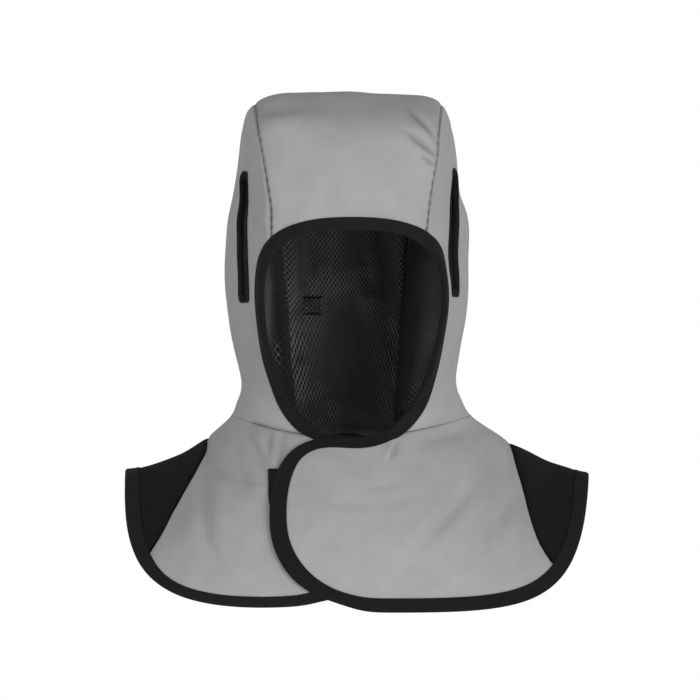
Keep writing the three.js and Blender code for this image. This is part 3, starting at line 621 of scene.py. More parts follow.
print("seams draw in", SEAM_DIP["depth"] + SEAM_DIP["broad"], "mm")

# %% [markdown]
# ## Sheets of cloth
# Every panel starts as a flat grid from one operator and is then bent point by point, which keeps its
# columns and rows as a cloth map in true metres for the weave. A Solidify modifier gives it thickness,
# inwards from the face that was shaped.

# %% Bend a flat grid into a panel
def grid_shares(columns, rows):
    return np.meshgrid(np.linspace(0, 1, columns + 1), np.linspace(0, 1, rows + 1))


def cloth_map(points):
    wide = lengths_along(points, 1)
    long = lengths_along(points, 0)
    middle = wide - wide[:, wide.shape[1] // 2][:, None]
    return np.stack([middle, long], -1).reshape(-1, 2) * MM


def flat_grid(points):
    sheet = bmesh.new()
    sheet.loops.layers.uv.new("cloth")
    rows, columns = points.shape[0] - 1, points.shape[1] - 1
    bmesh.ops.create_grid(sheet, x_segments=columns, y_segments=rows, size=0.5, calc_uvs=True)
    for vert, place in zip(sheet.verts, points.reshape(-1, 3) * MM):
        vert.co = place
    places = cloth_map(points)
    layer = sheet.loops.layers.uv.active
    for face in sheet.faces:
        for loop in face.loops:
            loop[layer].uv = places[loop.vert.index]
    sheet.normal_update()
    return sheet


def face_away(sheet, core):
    middle = Vector(core) * MM
    votes = 0
    for face in sheet.faces:
        away = face.calc_center_median() - middle
        away.z = max(away.z, 0)
        votes += 1 if face.normal.dot(away) > 0 else -1
    if votes < 0:
        bmesh.ops.reverse_faces(sheet, faces=sheet.faces)


def to_object(sheet, name):
    mesh = bpy.data.meshes.new(name)
    sheet.to_mesh(mesh)
    sheet.free()
    mesh.shade_smooth()
    piece = bpy.data.objects.new(name, mesh)
    bpy.context.scene.collection.objects.link(piece)
    return piece


def thicken(piece, thickness, offset=-1.0):
    wall = piece.modifiers.new("cloth thickness", "SOLIDIFY")
    wall.thickness = thickness * MM
    wall.offset = offset
    wall.use_even_offset = False


print("cloth is thickened by", CLOTH, "mm, inwards")

# %% [markdown]
# ## Slits over the ears
# Each side panel has a slit that bends with the head. Its line is a short table of heights and depths.
# The lips don't lie flat: the one behind stands out and the one towards the face is pressed in, so the
# slit gapes.

# %% Slit lines
SLIT = dict(half_gap=4.6, bluntness=0.16, fullness=0.2, allowance=1.8, long_power=12, wide_power=6)
SLIT_LINES = dict(
    left=[(-76, -29), (-87, -32.5), (-104, -41), (-127, -48), (-150, -49.4), (-182, -50.7)],
    right=[(-73, -19), (-80, -22.5), (-89, -29), (-104, -41), (-120, -48), (-150, -50.8), (-177, -49.5)],
)
LIP = dict(behind=3.4, before=-3.8, turn=3.5, rear=9.0, front=5.5, ripple=0.4, ripples=9, end=30, past=1.1)
slit_curves = {name: smooth_through(line[::-1]) for name, line in SLIT_LINES.items()}


def in_slit_frame(name, points):
    curve = slit_curves[name]
    middle = (curve[0, 0] + curve[-1, 0]) / 2
    run = (points[..., 2] - middle) / ((curve[-1, 0] - curve[0, 0]) / 2)
    return run, points[..., 1] - np.interp(points[..., 2], curve[:, 0], curve[:, 1])


def in_slit(name, points):
    run, behind = in_slit_frame(name, points)
    across = np.abs(behind) / (SLIT["half_gap"] + SLIT["allowance"])
    return run ** SLIT["long_power"] + across ** SLIT["wide_power"] < 1


def gape(name, points):
    run, behind = in_slit_frame(name, points)
    side = 1 if name == "right" else -1
    lift = lerp(LIP["before"], LIP["behind"], smoothstep(behind, -LIP["turn"], LIP["turn"]))
    lift = lift + LIP["ripple"] * np.sin(LIP["ripples"] * run + side)
    spread = np.where(behind > 0, LIP["rear"], LIP["front"])
    near_slit = np.clip(1 - np.abs(run / LIP["past"]) ** LIP["end"], 0, 1) * bell(behind, spread)
    near_slit = near_slit * (np.sign(points[..., 0]) == side)
    return np.stack([side * lift * near_slit, 0 * run, 0 * run], -1)


print("slits", {name: round(float(np.ptp(curve[:, 0]))) for name, curve in slit_curves.items()}, "mm tall")

# %% [markdown]
# ## Grey hood panels and cape
# The centre strip, the side panels, the flaps and the yoke each get one grid of points. The over flap is
# lifted where it crosses the other one and sags at its free top edge, and the hem rolls in towards the
# body in front.

# %% Panel points
GRIDS = dict(centre=(104, 240), side=(120, 150), flap=(140, 96), yoke=(240, 66))
STRIP_WARP = 0.4
HEM_ROLL = dict(left=8.0, right=2.0, start=0.915, side=0.5, front=0.9, power=1.6)
OVER_SAG = dict(drop=4.5, spread=14.0)


def panel_points(name, shape, a, b, depth=0.0):
    base = shape(a, b)
    normal = outward(shape, np.clip(a, STEP, 1 - STEP), b, HOOD_CORE)
    points, crease_shade = cloth_relief(name, base, normal, -depth)
    return points if name == "centre" else points + gape(name, base), crease_shade


def centre_shape(a, b):
    u = lerp(-1.0, 1.0, a)
    warped = b * (1 - STRIP_WARP + STRIP_WARP * b)
    return centre_point(u, lerp(brow_share(u), 1.0, warped))


def hem_roll(angle, t):
    most = sided((HEM_ROLL["left"], HEM_ROLL["right"]), np.cos(np.radians(angle)))
    share = np.clip((t - HEM_ROLL["start"]) / (1 - HEM_ROLL["start"]), 0, 1)
    facing = smoothstep(-np.sin(np.radians(angle)), HEM_ROLL["side"], HEM_ROLL["front"])
    return most * facing * share ** HEM_ROLL["power"]


def layer_points(name, places, lift, grid):
    angle, t = places(*grid_shares(*grid))
    base = cape_point(angle, t)
    normal = outward(cape_point, angle, t, CAPE_CORE)
    points, crease_shade = cloth_relief(name, base, normal, lift(base[..., 0]) - hem_roll(angle, t))
    if name == "over":
        free = smoothstep(sides["right"]["neck_start"] - angle, 0, OVER_SAG["spread"])
        points[..., 2] -= OVER_SAG["drop"] * free * (1 - t) ** 2
    return points, crease_shade


def under_share(x):
    return CROSSING["lift"] * smoothstep(x, CROSSING["start"], CROSSING["end"])


laid_panels = {
    "centre": panel_points("centre", centre_shape, *grid_shares(*GRIDS["centre"])),
    "left": panel_points("left", sides["left"]["point"], *grid_shares(*GRIDS["side"])),
    "right": panel_points("right", sides["right"]["point"], *grid_shares(*GRIDS["side"])),
    "over": layer_points("over", over_places, lambda x: CROSSING["lift"] - under_share(x), GRIDS["flap"]),
    "under": layer_points("under", under_places, lambda x: -under_share(x), GRIDS["flap"]),
    "yoke": layer_points("yoke", yoke_places, lambda x: 0 * x, GRIDS["yoke"]),
}
panels = {name: points for name, (points, _) in laid_panels.items()}
print("panel points", {name: points.shape[:2] for name, points in panels.items()})

# %% [markdown]
# ## Bend, cut and thicken the panels
# The side panels lose the points inside their ear slit: the cut edge is rough, as a cut edge is, and the
# tape folded over it hides it. The painted crease shade goes on the points as an attribute.

# %% Cloth panels
PANEL_NAMES = dict(
    centre="hood_centre_cloth", left="hood_left_cloth", right="hood_right_cloth",
    over="cape_over_flap_cloth", under="cape_under_flap_cloth", yoke="cape_yoke_cloth",
)
pieces = {}


def mark_crease_shade(sheet, crease_shade):
    layer = sheet.verts.layers.float.new("crease_shade")
    for vert, value in zip(sheet.verts, crease_shade.ravel()):
        vert[layer] = value


def cut_away(sheet, inside):
    gone = [vert for vert, cut in zip(list(sheet.verts), inside) if cut]
    bmesh.ops.delete(sheet, geom=gone, context="VERTS")


for name, (points, crease_shade) in laid_panels.items():
    sheet = flat_grid(points)
    mark_crease_shade(sheet, crease_shade)
    face_away(sheet, HOOD_CORE if name in ("centre", "left", "right") else CAPE_CORE)
    if name in ("left", "right"):
        flat_places = sides[name]["point"](*grid_shares(*GRIDS["side"]))
        cut_away(sheet, in_slit(name, flat_places).ravel())
    pieces[name] = to_object(sheet, PANEL_NAMES[name])
    thicken(pieces[name], CLOTH)
    print(PANEL_NAMES[name], len(pieces[name].data.polygons), "faces")

# %% [markdown]
# ## The mesh lining
# The lining is a black net of diamonds. A net could be painted on, but its strands catch the light, so it
# is built: on a square grid every second point is a crossing, the crossings are joined across each square
# and the points between are dissolved, which leaves diamonds. An inset turns each into strands with a
# sunken hollow, and the sunken faces are marked.

# %% Net helpers
NET = 2.75
STRAND = 0.62
HOLLOW = 0.5


def even_count(length):
    return 2 * round(length / NET / 2)


def make_net(points):
    net = flat_grid(points)
    columns = points.shape[1]
    crossing = [(vert.index // columns + vert.index % columns) % 2 == 0 for vert in net.verts]
    crossings = [vert for vert, crosses in zip(net.verts, crossing) if crosses]
    between = [vert for vert, crosses in zip(net.verts, crossing) if not crosses]
    bmesh.ops.connect_verts(net, verts=crossings)
    bmesh.ops.dissolve_verts(net, verts=[vert for vert in between if not vert.is_boundary])
    return net


def sink_hollows(net):
    net.normal_update()
    face_away(net, HOOD_CORE)
    bmesh.ops.reverse_faces(net, faces=net.faces)
    net.normal_update()
    layer = net.faces.layers.float.new("hollow")
    diamonds = [face for face in net.faces if len(face.verts) == 4]
    bmesh.ops.inset_individual(net, faces=diamonds, thickness=STRAND * MM, depth=-HOLLOW * MM)
    for face in diamonds:
        face[layer] = 1.0
    return len(diamonds)


print("net squares", NET, "mm, strands", STRAND, "mm")

# %% [markdown]
# ## Where the lining is slack and where it catches light
# The lining is wider than the head, so long folds hang from the crown. Its strands catch the light in
# some places and lie in the dark in others, and that light and shade is painted. Both, the folds and the
# painted light, are strokes in tables again: one lifts the net off the cloth, and two become attributes
# of its points, the painted catch of the strands and the painted glow of the net as a whole.

# %% Slack folds and lit places
SLACK = [
    (-41, -150, 90, 46, 7, -1.0), (-52, -156, 88, 60, 7, 5.5), (-27, -150, 84, 60, 10, 5.0),
    (33, -158, 100, 46, 7, -1.0), (22, -150, 96, 60, 9, 5.0), (47, -160, 92, 60, 7, 5.5),
    (2, -215, 90, 60, 22, 3.0),
]
# Painted highlight on the strands: the share of lit strands and shaded hollows each piece starts with.
PAINTED_CATCH = dict(centre=0.6, left=0.0, right=0.0)
# Painted light on the plain tone that each piece of net starts with.
PAINTED_GLOW = dict(centre=0.44, left=0.12, right=0.24)
# Positive rows paint highlights on strands; negative rows take them away, in folds and along seams.
PAINTED_CATCH_SPOTS = [
    ("centre", -2, -236, 90, 46, 24, -0.9), ("centre", 4, -132, 90, 24, 9, -0.7),
    ("centre", -41, -150, 90, 34, 5, -1.0), ("centre", 34, -158, 100, 34, 6, -1.0),
    ("centre", -53, -215, 95, 70, 8, 0.6), ("centre", -18, -165, 60, 40, 12, 0.2),
    ("centre", 18, -175, 95, 40, 10, 0.4), ("centre", 44, -200, 85, 70, 6, 0.5),
    ("centre", 40, -255, 80, 40, 8, 0.2), ("centre", -35, -262, 130, 30, 8, 0.5),
    ("centre", -55.5, -210, 95.4, 80, 1.9, -2.0), ("centre", 49.5, -212, 86.8, 86, 1.9, -2.0),
    ("left", -64, -233, 100, 12, 3, 0.9), ("right", 60, -271, 62, 16, 4, 0.8),
]
# Painted light on the plain net, with painted shade bands along the lining's seams.
PAINTED_GLOW_SPOTS = [
    ("centre", -55.5, -210, 95.4, 90, 2.4, -1.0), ("centre", 49.5, -212, 86.8, 96, 2.4, -1.0),
    ("left", -72.5, -194, 90, 38, 3.5, 0.8), ("right", 77, -180, 88, 52, 12, 0.5),
    ("right", 68, -240, 75, 40, 8, 0.4),
]
SPOT_DEPTH = -60


def slack_height(points):
    height = np.zeros(points.shape[:-1])
    for x, z, turn, length, width, tall in SLACK:
        along, across = in_stroke(points, x, z, turn, length, width)
        height += tall * np.exp(-along * along - across * across)
    return np.maximum(height, 0) * (points[..., 1] > 0)


def spots_on(table, name, points, start):
    share = np.full(len(points), start)
    for piece, x, z, turn, length, width, change in table:
        if piece == name:
            along, across = in_stroke(points, x, z, turn, length, width)
            share += change * np.exp(-(along**4) - across**2) * (points[:, 1] > SPOT_DEPTH)
    return np.clip(share, 0, 1)


def mark_points(piece, label, values):
    piece.data.attributes.new(label, "FLOAT", "POINT").data.foreach_set("value", values)


print(len(SLACK), "slack folds,", len(PAINTED_CATCH_SPOTS) + len(PAINTED_GLOW_SPOTS), "lit or dark places")

# %% [markdown]
# ## Lay the lining
# Each net follows the panel that it lines, a little inside it, and stays clear of the seams. Its own
# seams at the back lie nearer to the middle than those of the cloth. At the nape it is drawn down and
# inwards, past the neck seam, so that no grey shows under it.

# %% Lining nets
LINING_DEPTH = CLOTH + 1.0
LINING_BACK = dict(left=0.89, right=0.785)
TURN_IN = 0.03
SEAM_ROOM = dict(depth=2.0, reach=5.0)
NECK_COVER = dict(down=12.0, inwards=5.0, reach=14.0)
NAPE_DEPTH = 60.0
ROUGH_GRID = (20, 40)


def lining_centre_shape(a, b):
    u = lerp(-1.0, 1.0, a)
    v = lerp(brow_share(u), 1.0, b)
    share = np.where(u < 0, LINING_BACK["left"], LINING_BACK["right"]) + TURN_IN
    return centre_point(u * lerp(1, share, smoothstep(v, CORNER, lerp(CORNER, 1, BACK_TURN))), v)


lining_shapes = {
    "centre": lining_centre_shape,
    "left": make_side(-1, LINING_BACK["left"])["point"],
    "right": make_side(1, LINING_BACK["right"])["point"],
}


def net_points(name, shape):
    rough = shape(*grid_shares(*ROUGH_GRID))
    wide = np.linalg.norm(np.diff(rough, axis=1), axis=-1).sum(1).max()
    long = np.linalg.norm(np.diff(rough, axis=0), axis=-1).sum(0).max()
    a, b = grid_shares(even_count(wide), even_count(long))
    base = shape(a, b)
    distance, index = nearest_seam(base)
    depth = LINING_DEPTH + slack_height(base) + SEAM_ROOM["depth"] * bell(distance, SEAM_ROOM["reach"])
    points, _ = panel_points(name, shape, a, b, depth)
    covered = bell(distance, NECK_COVER["reach"]) * (seam_kind[index] == "neck")
    covered = covered * smoothstep(base[..., 1], 0, NAPE_DEPTH)
    points[..., 1] -= NECK_COVER["inwards"] * covered
    points[..., 2] -= NECK_COVER["down"] * covered
    return points


for name, shape in lining_shapes.items():
    net = make_net(net_points(name, shape))
    if name != "centre":
        cut_away(net, in_slit(name, np.array([vert.co for vert in net.verts]) / MM))
    count = sink_hollows(net)
    piece = to_object(net, "lining_" + name + "_net")
    places = np.array([vert.co for vert in piece.data.vertices]) / MM
    mark_points(piece, "painted_catch", spots_on(PAINTED_CATCH_SPOTS, name, places, PAINTED_CATCH[name]))
    mark_points(piece, "painted_glow", spots_on(PAINTED_GLOW_SPOTS, name, places, PAINTED_GLOW[name]))
    pieces["lining_" + name] = piece
    print("lining", name, count, "diamonds")

# %% [markdown]
# ## One tape round every edge
# The tape is folded over the edge like a long letter U. Its path is the edge of the sheets in sewing
# order. At each step the cloth's own face gives the way out and the way in, and the tape's inner edge is
# laid back on the cloth by asking for the nearest point of it, so it follows each fold.

# %% Path along the edges
TAPE_STEP = 2.4
TAPE_SOFT = 3
TINY = 1e-6


def soften(values, reach):
    offsets = np.arange(-3 * reach, 3 * reach + 1)
    weights = np.exp(-((offsets / reach) ** 2) / 2)
    return sum(w * np.roll(values, k, axis=0) for w, k in zip(weights, offsets)) / weights.sum()


def read_along(line, lengths, at):
    return np.stack([np.interp(at, lengths, line[:, k]) for k in range(3)], -1)


def even_steps(path, step):
    closed = np.vstack([path, path[:1]])
    lengths = lengths_along(closed)
    at = np.linspace(0, lengths[-1], round(lengths[-1] / step), endpoint=False)
    return read_along(closed, lengths, at), lengths[-1]


side_rows = np.linspace(0, 1, GRIDS["side"][1] + 1)
cheek_rows = np.flatnonzero(side_rows <= BROW_HEIGHT + TINY)
neck_column = round(FLAP_NECK * GRIDS["flap"][0])
path_parts = dict(
    right_cheek=panels["right"][cheek_rows, 0],
    brow=panels["centre"][0, ::-1],
    left_cheek=panels["left"][cheek_rows[::-1], 0],
    under_top=panels["under"][0, neck_column::-1],
    under_end=panels["under"][:, 0],
    under_hem=panels["under"][-1],
    yoke_hem=panels["yoke"][-1, ::-1],
    over_hem=panels["over"][-1, ::-1],
    over_end=panels["over"][::-1, 0],
    over_top=panels["over"][0, : neck_column + 1],
)
binding_path, binding_length = even_steps(np.vstack(list(path_parts.values())), TAPE_STEP)
binding_path = soften(binding_path, TAPE_SOFT)
print("edge to bind", round(binding_length), "mm in", len(binding_path), "steps")

# %% [markdown]
# ## Fold the tape over the edge
# The tape is a long flat grid again, as many columns as the path has steps, whose rows go down the
# outside, round the edge and up the inside. The two ends of the grid are merged into one closed band. The
# same folding serves the tape round every edge and the narrow ones at the ears.

# %% Lay a folded tape
CLEAR = 0.35
NOSE_TURNS = (60, 20, -20, -60)
NOSE_MOST = 1.0


def fold(path, normals, inward, legs, wall):
    outer = [spot + normal * CLEAR for spot, normal in legs]
    inner = [spot - normal * (wall[:, None] + CLEAR) for spot, normal in legs[::-1]]
    middle = path - normals * wall[:, None] / 2
    reach = wall[:, None] / 2 + CLEAR
    nose = []
    for turn in NOSE_TURNS:
        c = math.cos(math.radians(turn))
        s = math.sin(math.radians(turn))
        nose.append(middle + normals * reach * s - inward * c * np.minimum(reach, NOSE_MOST))
    return np.stack(outer + nose + inner)


def closed_tape(rows):
    looped = np.concatenate([rows, rows[:, :1]], axis=1)
    strip = flat_grid(looped)
    bmesh.ops.remove_doubles(strip, verts=strip.verts, dist=TINY)
    strip.normal_update()
    return strip


print("tape folds round", len(NOSE_TURNS), "steps at its edge")

# %% [markdown]
# ## Ask the cloth
# A few lines are marked on the cloth, from the tape's inner edge towards the cut edge. Each point of them
# is moved to the nearest place on the cloth and remembers the way out there, and the fold is laid over
# them.

# %% Rows of a tape
TAPE_START = 0.6
TAPE_LEGS = 6
SPOT_SOFT = 2


def surface_of(*names):
    joined = bmesh.new()
    for name in names:
        joined.from_mesh(pieces[name].data)
    joined.normal_update()
    tree = BVHTree.FromBMesh(joined)
    joined.free()
    return tree


def near(tree, points):
    hits = [tree.find_nearest(Vector(point) * MM) for point in points]
    return np.array([hit[0] for hit in hits]) / MM, np.array([hit[1] for hit in hits])


def inward_of(path, normals):
    along = unit(np.roll(path, -1, axis=0) - np.roll(path, 1, axis=0))
    return unit(np.cross(along, normals))


def tape_rows(path, surface, width, wall):
    _, normals = surface(path)
    normals = unit(soften(normals, TAPE_SOFT))
    inward = unit(soften(inward_of(path, normals), TAPE_SOFT))
    legs = []
    for share in np.linspace(0, 1, TAPE_LEGS):
        spot, normal = surface(path + inward * lerp(width, TAPE_START, share)[:, None])
        legs.append((soften(spot, SPOT_SOFT), unit(soften(normal, TAPE_SOFT))))
    return fold(path, normals, inward, legs, wall)


print("tape asks the cloth along", TAPE_LEGS, "lines")

# %% [markdown]
# ## The binding
# The tape is laid over the cape's cloth and, round the face, over cloth and lining together, so its fold
# is wider there. Where the flaps cross, each half of the path asks only the cloth that it is sewn to. The
# tape looks a little wider or narrower from part to part, as it turns towards the eye or away.

# %% Edge binding
WALL_SOFT = 4
WIDTH_SOFT = 6
HOOD_WALL = 3.4
CAPE_WALL = CLOTH + 0.2
TAPE_WIDTHS = dict(
    right_cheek=11.0, brow=10.0, left_cheek=11.0, under_top=11.0, under_end=11.0,
    under_hem=11.5, yoke_hem=11.5, over_hem=11.5, over_end=13.8, over_top=10.6,
)
over_side = surface_of("centre", "right", "over", "yoke")
under_side = surface_of("centre", "left", "under", "yoke")
part_lengths = [lengths_along(part)[-1] for part in path_parts.values()]
part_ends = np.cumsum([0] + part_lengths)
part_starts = dict(zip(path_parts, part_ends))
step_lengths = np.arange(len(binding_path)) * TAPE_STEP
brow_middle = (part_starts["brow"] + part_starts["left_cheek"]) / 2
yoke_middle = (part_starts["yoke_hem"] + part_starts["over_hem"]) / 2
on_under = (step_lengths > brow_middle) & (step_lengths < yoke_middle)
on_hood = step_lengths < part_starts["under_top"]


def edge_surface(points):
    over_spot, over_normal = near(over_side, points)
    under_spot, under_normal = near(under_side, points)
    pick = on_under[:, None]
    return np.where(pick, under_spot, over_spot), np.where(pick, under_normal, over_normal)


binding_wall = soften(np.where(on_hood, HOOD_WALL, CAPE_WALL)[:, None], WALL_SOFT)[:, 0]
part_at = np.searchsorted(part_ends, step_lengths, side="right") - 1
part_widths = np.array([TAPE_WIDTHS[part] for part in path_parts])
step_widths = part_widths[np.minimum(part_at, len(part_widths) - 1)]
binding_width = soften(step_widths[:, None], WIDTH_SOFT)[:, 0]
binding_rows = tape_rows(binding_path, edge_surface, binding_width, binding_wall)
pieces["binding"] = to_object(closed_tape(binding_rows), "edge_binding_tape")
thicken(pieces["binding"], TAPE, 1.0)
print("binding", len(pieces["binding"].data.polygons), "faces")

# %% [markdown]
# ## Bound ear slits
# Each slit is bound with a narrow tape. Its outline, and the same outline grown step by step to the
# tape's width, are shot on to the panel from the side, and the folding from before lays the tape.

# %% Slit tapes
SLIT_WIDTH = 6.0
SLIT_LEGS = 5
SLIT_STEP = 1.6
SLIT_TURNS = 4000
FAR_OUT = 0.4


def slit_outline(name, turn, grow):
    curve = slit_curves[name]
    c = np.cos(turn)
    s = np.sin(turn)
    z = lerp(curve[0, 0] - grow, curve[-1, 0] + grow, (signed_power(c, SLIT["fullness"]) + 1) / 2)
    y = np.interp(z, curve[:, 0], curve[:, 1])
    return np.stack([y + (SLIT["half_gap"] + grow) * signed_power(s, SLIT["bluntness"]), z], -1)


def even_turns(name, side):
    turn = -side * np.linspace(0, 2 * math.pi, SLIT_TURNS)
    outline = slit_outline(name, turn, SLIT_WIDTH / 2)
    lengths = lengths_along(outline)
    count = round(lengths[-1] / SLIT_STEP)
    return np.interp(np.linspace(0, lengths[-1], count, endpoint=False), lengths, turn)


def shoot(tree, side, outline):
    way = Vector((-side, 0, 0))
    hits = [tree.ray_cast(Vector((side * FAR_OUT, y * MM, z * MM)), way) for y, z in outline]
    normals = unit(soften(np.array([hit[1] for hit in hits]), TAPE_SOFT))
    return np.array([hit[0] for hit in hits]) / MM, normals


def whole_side(name):
    sheet = flat_grid(panels[name])
    face_away(sheet, HOOD_CORE)
    sheet.normal_update()
    tree = BVHTree.FromBMesh(sheet)
    sheet.free()
    return tree


for name, side in (("left", -1), ("right", 1)):
    tree = whole_side(name)
    turn = even_turns(name, side)
    path, normals = shoot(tree, side, slit_outline(name, turn, 0.0))
    grown = np.linspace(SLIT_WIDTH, TAPE_START, SLIT_LEGS)
    legs = [shoot(tree, side, slit_outline(name, turn, grow)) for grow in grown]
    inward = unit(legs[0][0] - path)
    rows = fold(path, normals, inward, legs, np.full(len(path), HOOD_WALL))
    pieces["slit_" + name] = to_object(closed_tape(rows), "ear_slit_tape_" + name)
    thicken(pieces["slit_" + name], TAPE, 1.0)
    print("slit tape", name, len(path), "steps")

# %% [markdown]
# ## Closure strip
# A strip of hook-and-loop tape lies on the lower flap; one corner of it looks out past the upper one. It
# is a small sheet laid on the same surface as the flap, a little above it.

# %% Closure
CLOSURE = dict(left=-70, right=-22, top=0.2, bottom=0.72, clearance=0.8, thickness=1.2, cells=(24, 40))
CLOSURE |= dict(taper=14, taper_start=0.25)


def closure_places(a, b):
    t = lerp(CLOSURE["top"], CLOSURE["bottom"], b)
    left = CLOSURE["left"] + CLOSURE["taper"] * smoothstep(b, CLOSURE["taper_start"], 1)
    return front_angle(lerp(left, CLOSURE["right"], a), t), t


def closure_lift(x):
    return CLOSURE["clearance"] - under_share(x)


closure_points, _ = layer_points("under", closure_places, closure_lift, CLOSURE["cells"])
strip = flat_grid(closure_points)
face_away(strip, CAPE_CORE)
pieces["closure"] = to_object(strip, "closure_strip_tape")
thicken(pieces["closure"], CLOSURE["thickness"], 1.0)
print("closure", len(pieces["closure"].data.polygons), "faces")

# %% [markdown]
# ## The plain tab
# On the lining at the back of the head there is a small plain tab. It is a piece of the same net, sewn
# along its top and bottom, where it is dark. A plane fitted to the lining carries it, just clear of the
# folds.

# %% Tab
TAB = dict(x=-31, z=-190, width=16, height=17, lift=0.1, puff=0.5, round=8, thickness=0.6)
TAB |= dict(cells=(8, 8), hem=0.14, painted_catch=0.65)
inside = surface_of("lining_centre")


def tab_points(columns, rows):
    a, b = grid_shares(columns, rows)
    x = TAB["x"] + TAB["width"] * (a - 0.5)
    z = TAB["z"] + TAB["height"] * (b - 0.5)
    starts = np.stack([x, np.zeros_like(x), z], -1).reshape(-1, 3) * MM
    hits = np.array([inside.ray_cast(Vector(spot), Vector((0, 1, 0)))[0] for spot in starts]) / MM
    hits = hits.reshape(*x.shape, 3)
    flat = np.stack([x.ravel(), z.ravel(), np.ones(x.size)], -1)
    fit = flat @ np.linalg.lstsq(flat, hits[..., 1].ravel(), rcond=None)[0]
    highest = (fit - hits[..., 1].ravel()).max()
    rounded = 1 - np.maximum(np.abs(2 * a - 1), np.abs(2 * b - 1)) ** TAB["round"]
    hits[..., 1] = fit.reshape(x.shape) - highest - TAB["lift"] - TAB["puff"] * rounded
    return hits


tab = make_net(tab_points(*TAB["cells"]))
sink_hollows(tab)
hem_height = (0.5 - TAB["hem"]) * TAB["height"] * MM
for face in tab.faces:
    if abs(face.calc_center_median().z - TAB["z"] * MM) > hem_height:
        face[tab.faces.layers.float["hollow"]] = 1.0
pieces["tab"] = to_object(tab, "lining_tab")
mark_points(pieces["tab"], "painted_catch", np.full(len(pieces["tab"].data.vertices), TAB["painted_catch"]))
thicken(pieces["tab"], TAB["thickness"])
print("tab", len(pieces["tab"].data.polygons), "faces")

# %% [markdown]
# ## Stitches
# A row of black stitches holds the edge binding down, close to its inner edge. One stitch is a small
# stretched ball of few faces, because there are hundreds. It is laid along the tape, sunk a little into it.

# %% Stitch rows
STITCH = dict(length=2.3, gap=1.1, width=0.42, height=0.3, place=0.5)

ball = bmesh.new()
bmesh.ops.create_uvsphere(ball, u_segments=6, v_segments=4, radius=1)
one_stitch = bpy.data.meshes.new("one_stitch")
ball.to_mesh(one_stitch)
ball.free()


def sew(sheet, line, normals):
    pitch = STITCH["length"] + STITCH["gap"]
    lengths = lengths_along(line)
    for at in np.arange(pitch / 2, lengths[-1], pitch):
        spot = Vector(read_along(line, lengths, at))
        ahead = Vector(read_along(line, lengths, at + 1))
        up = Vector(read_along(normals, lengths, at)).normalized()
        along = (ahead - spot).normalized()
        side = up.cross(along).normalized()
        turn = Matrix((along, side, up)).transposed().to_4x4()
        size = Matrix.Diagonal((STITCH["length"] / 2, STITCH["width"], STITCH["height"], 1))
        place = Matrix.Scale(MM, 4) @ Matrix.Translation(spot) @ turn @ size
        stitch = one_stitch.copy()
        stitch.transform(place)
        sheet.from_mesh(stitch)
        bpy.data.meshes.remove(stitch)


def row_on_tape(rows, share):
    line = lerp(rows[0], rows[1], share)
    across = rows[1] - rows[0]
    along = np.roll(line, -1, axis=0) - np.roll(line, 1, axis=0)
    normals = unit(np.cross(along, across))
    return line + normals * TAPE, normals


stitches = bmesh.new()
line, normals = row_on_tape(binding_rows, STITCH["place"])
sew(stitches, line, normals)
pieces["stitches"] = to_object(stitches, "edge_binding_stitches")
print("stitches", len(pieces["stitches"].data.polygons) // len(one_stitch.polygons))

# %% [markdown]
# ## Effects that several cloths share
# Three node groups are built once: a weave of diagonal ribs, a soft mottling as of washed cloth, and fine
# lint. On the net the mottling and the lint set where the strands show painted highlights and painted
# glints. Each puts out a value that changes over the surface, and the cloths set their own scale.

# %% Shared node groups
WEAVE = dict(distortion=1.2, detail_scale=2.0, yarn_detail=3.0, yarn_fineness=1.7)
MOTTLE = dict(detail=5.0, roughness=0.62)
LINT_AND_GLINT_DETAIL = 1.0


def new_group(name, inputs, outputs):
    group = bpy.data.node_groups.new(name, "ShaderNodeTree")
    group.interface.new_socket("Vector", in_out="INPUT", socket_type="NodeSocketVector")
    for label, value in inputs:
        socket = group.interface.new_socket(label, in_out="INPUT", socket_type="NodeSocketFloat")
        socket.default_value = value
    for label in outputs:
        group.interface.new_socket(label, in_out="OUTPUT", socket_type="NodeSocketFloat")
    return group, group.nodes.new("NodeGroupInput"), group.nodes.new("NodeGroupOutput")


def math_node(tree, kind, first, second):
    node = tree.nodes.new("ShaderNodeMath")
    node.operation = kind
    for socket, value in zip(node.inputs, (first, second)):
        if isinstance(value, (int, float)):
            socket.default_value = value
        else:
            tree.links.new(value, socket)
    return node.outputs[0]


def make_weave():
    group, given, out = new_group("ribbed_weave", [("Scale", 300.0), ("Slub", 0.6)], ["Height"])
    ribs = group.nodes.new("ShaderNodeTexWave")
    ribs.bands_direction = "DIAGONAL"
    ribs.inputs["Distortion"].default_value = WEAVE["distortion"]
    ribs.inputs["Detail Scale"].default_value = WEAVE["detail_scale"]
    group.links.new(given.outputs["Vector"], ribs.inputs["Vector"])
    group.links.new(given.outputs["Scale"], ribs.inputs["Scale"])
    yarn = group.nodes.new("ShaderNodeTexNoise")
    yarn.inputs["Detail"].default_value = WEAVE["yarn_detail"]
    group.links.new(given.outputs["Vector"], yarn.inputs["Vector"])
    finer = math_node(group, "MULTIPLY", given.outputs["Scale"], WEAVE["yarn_fineness"])
    group.links.new(finer, yarn.inputs["Scale"])
    slub = math_node(group, "MULTIPLY", yarn.outputs["Fac"], given.outputs["Slub"])
    group.links.new(math_node(group, "ADD", ribs.outputs["Fac"], slub), out.inputs["Height"])
    return group


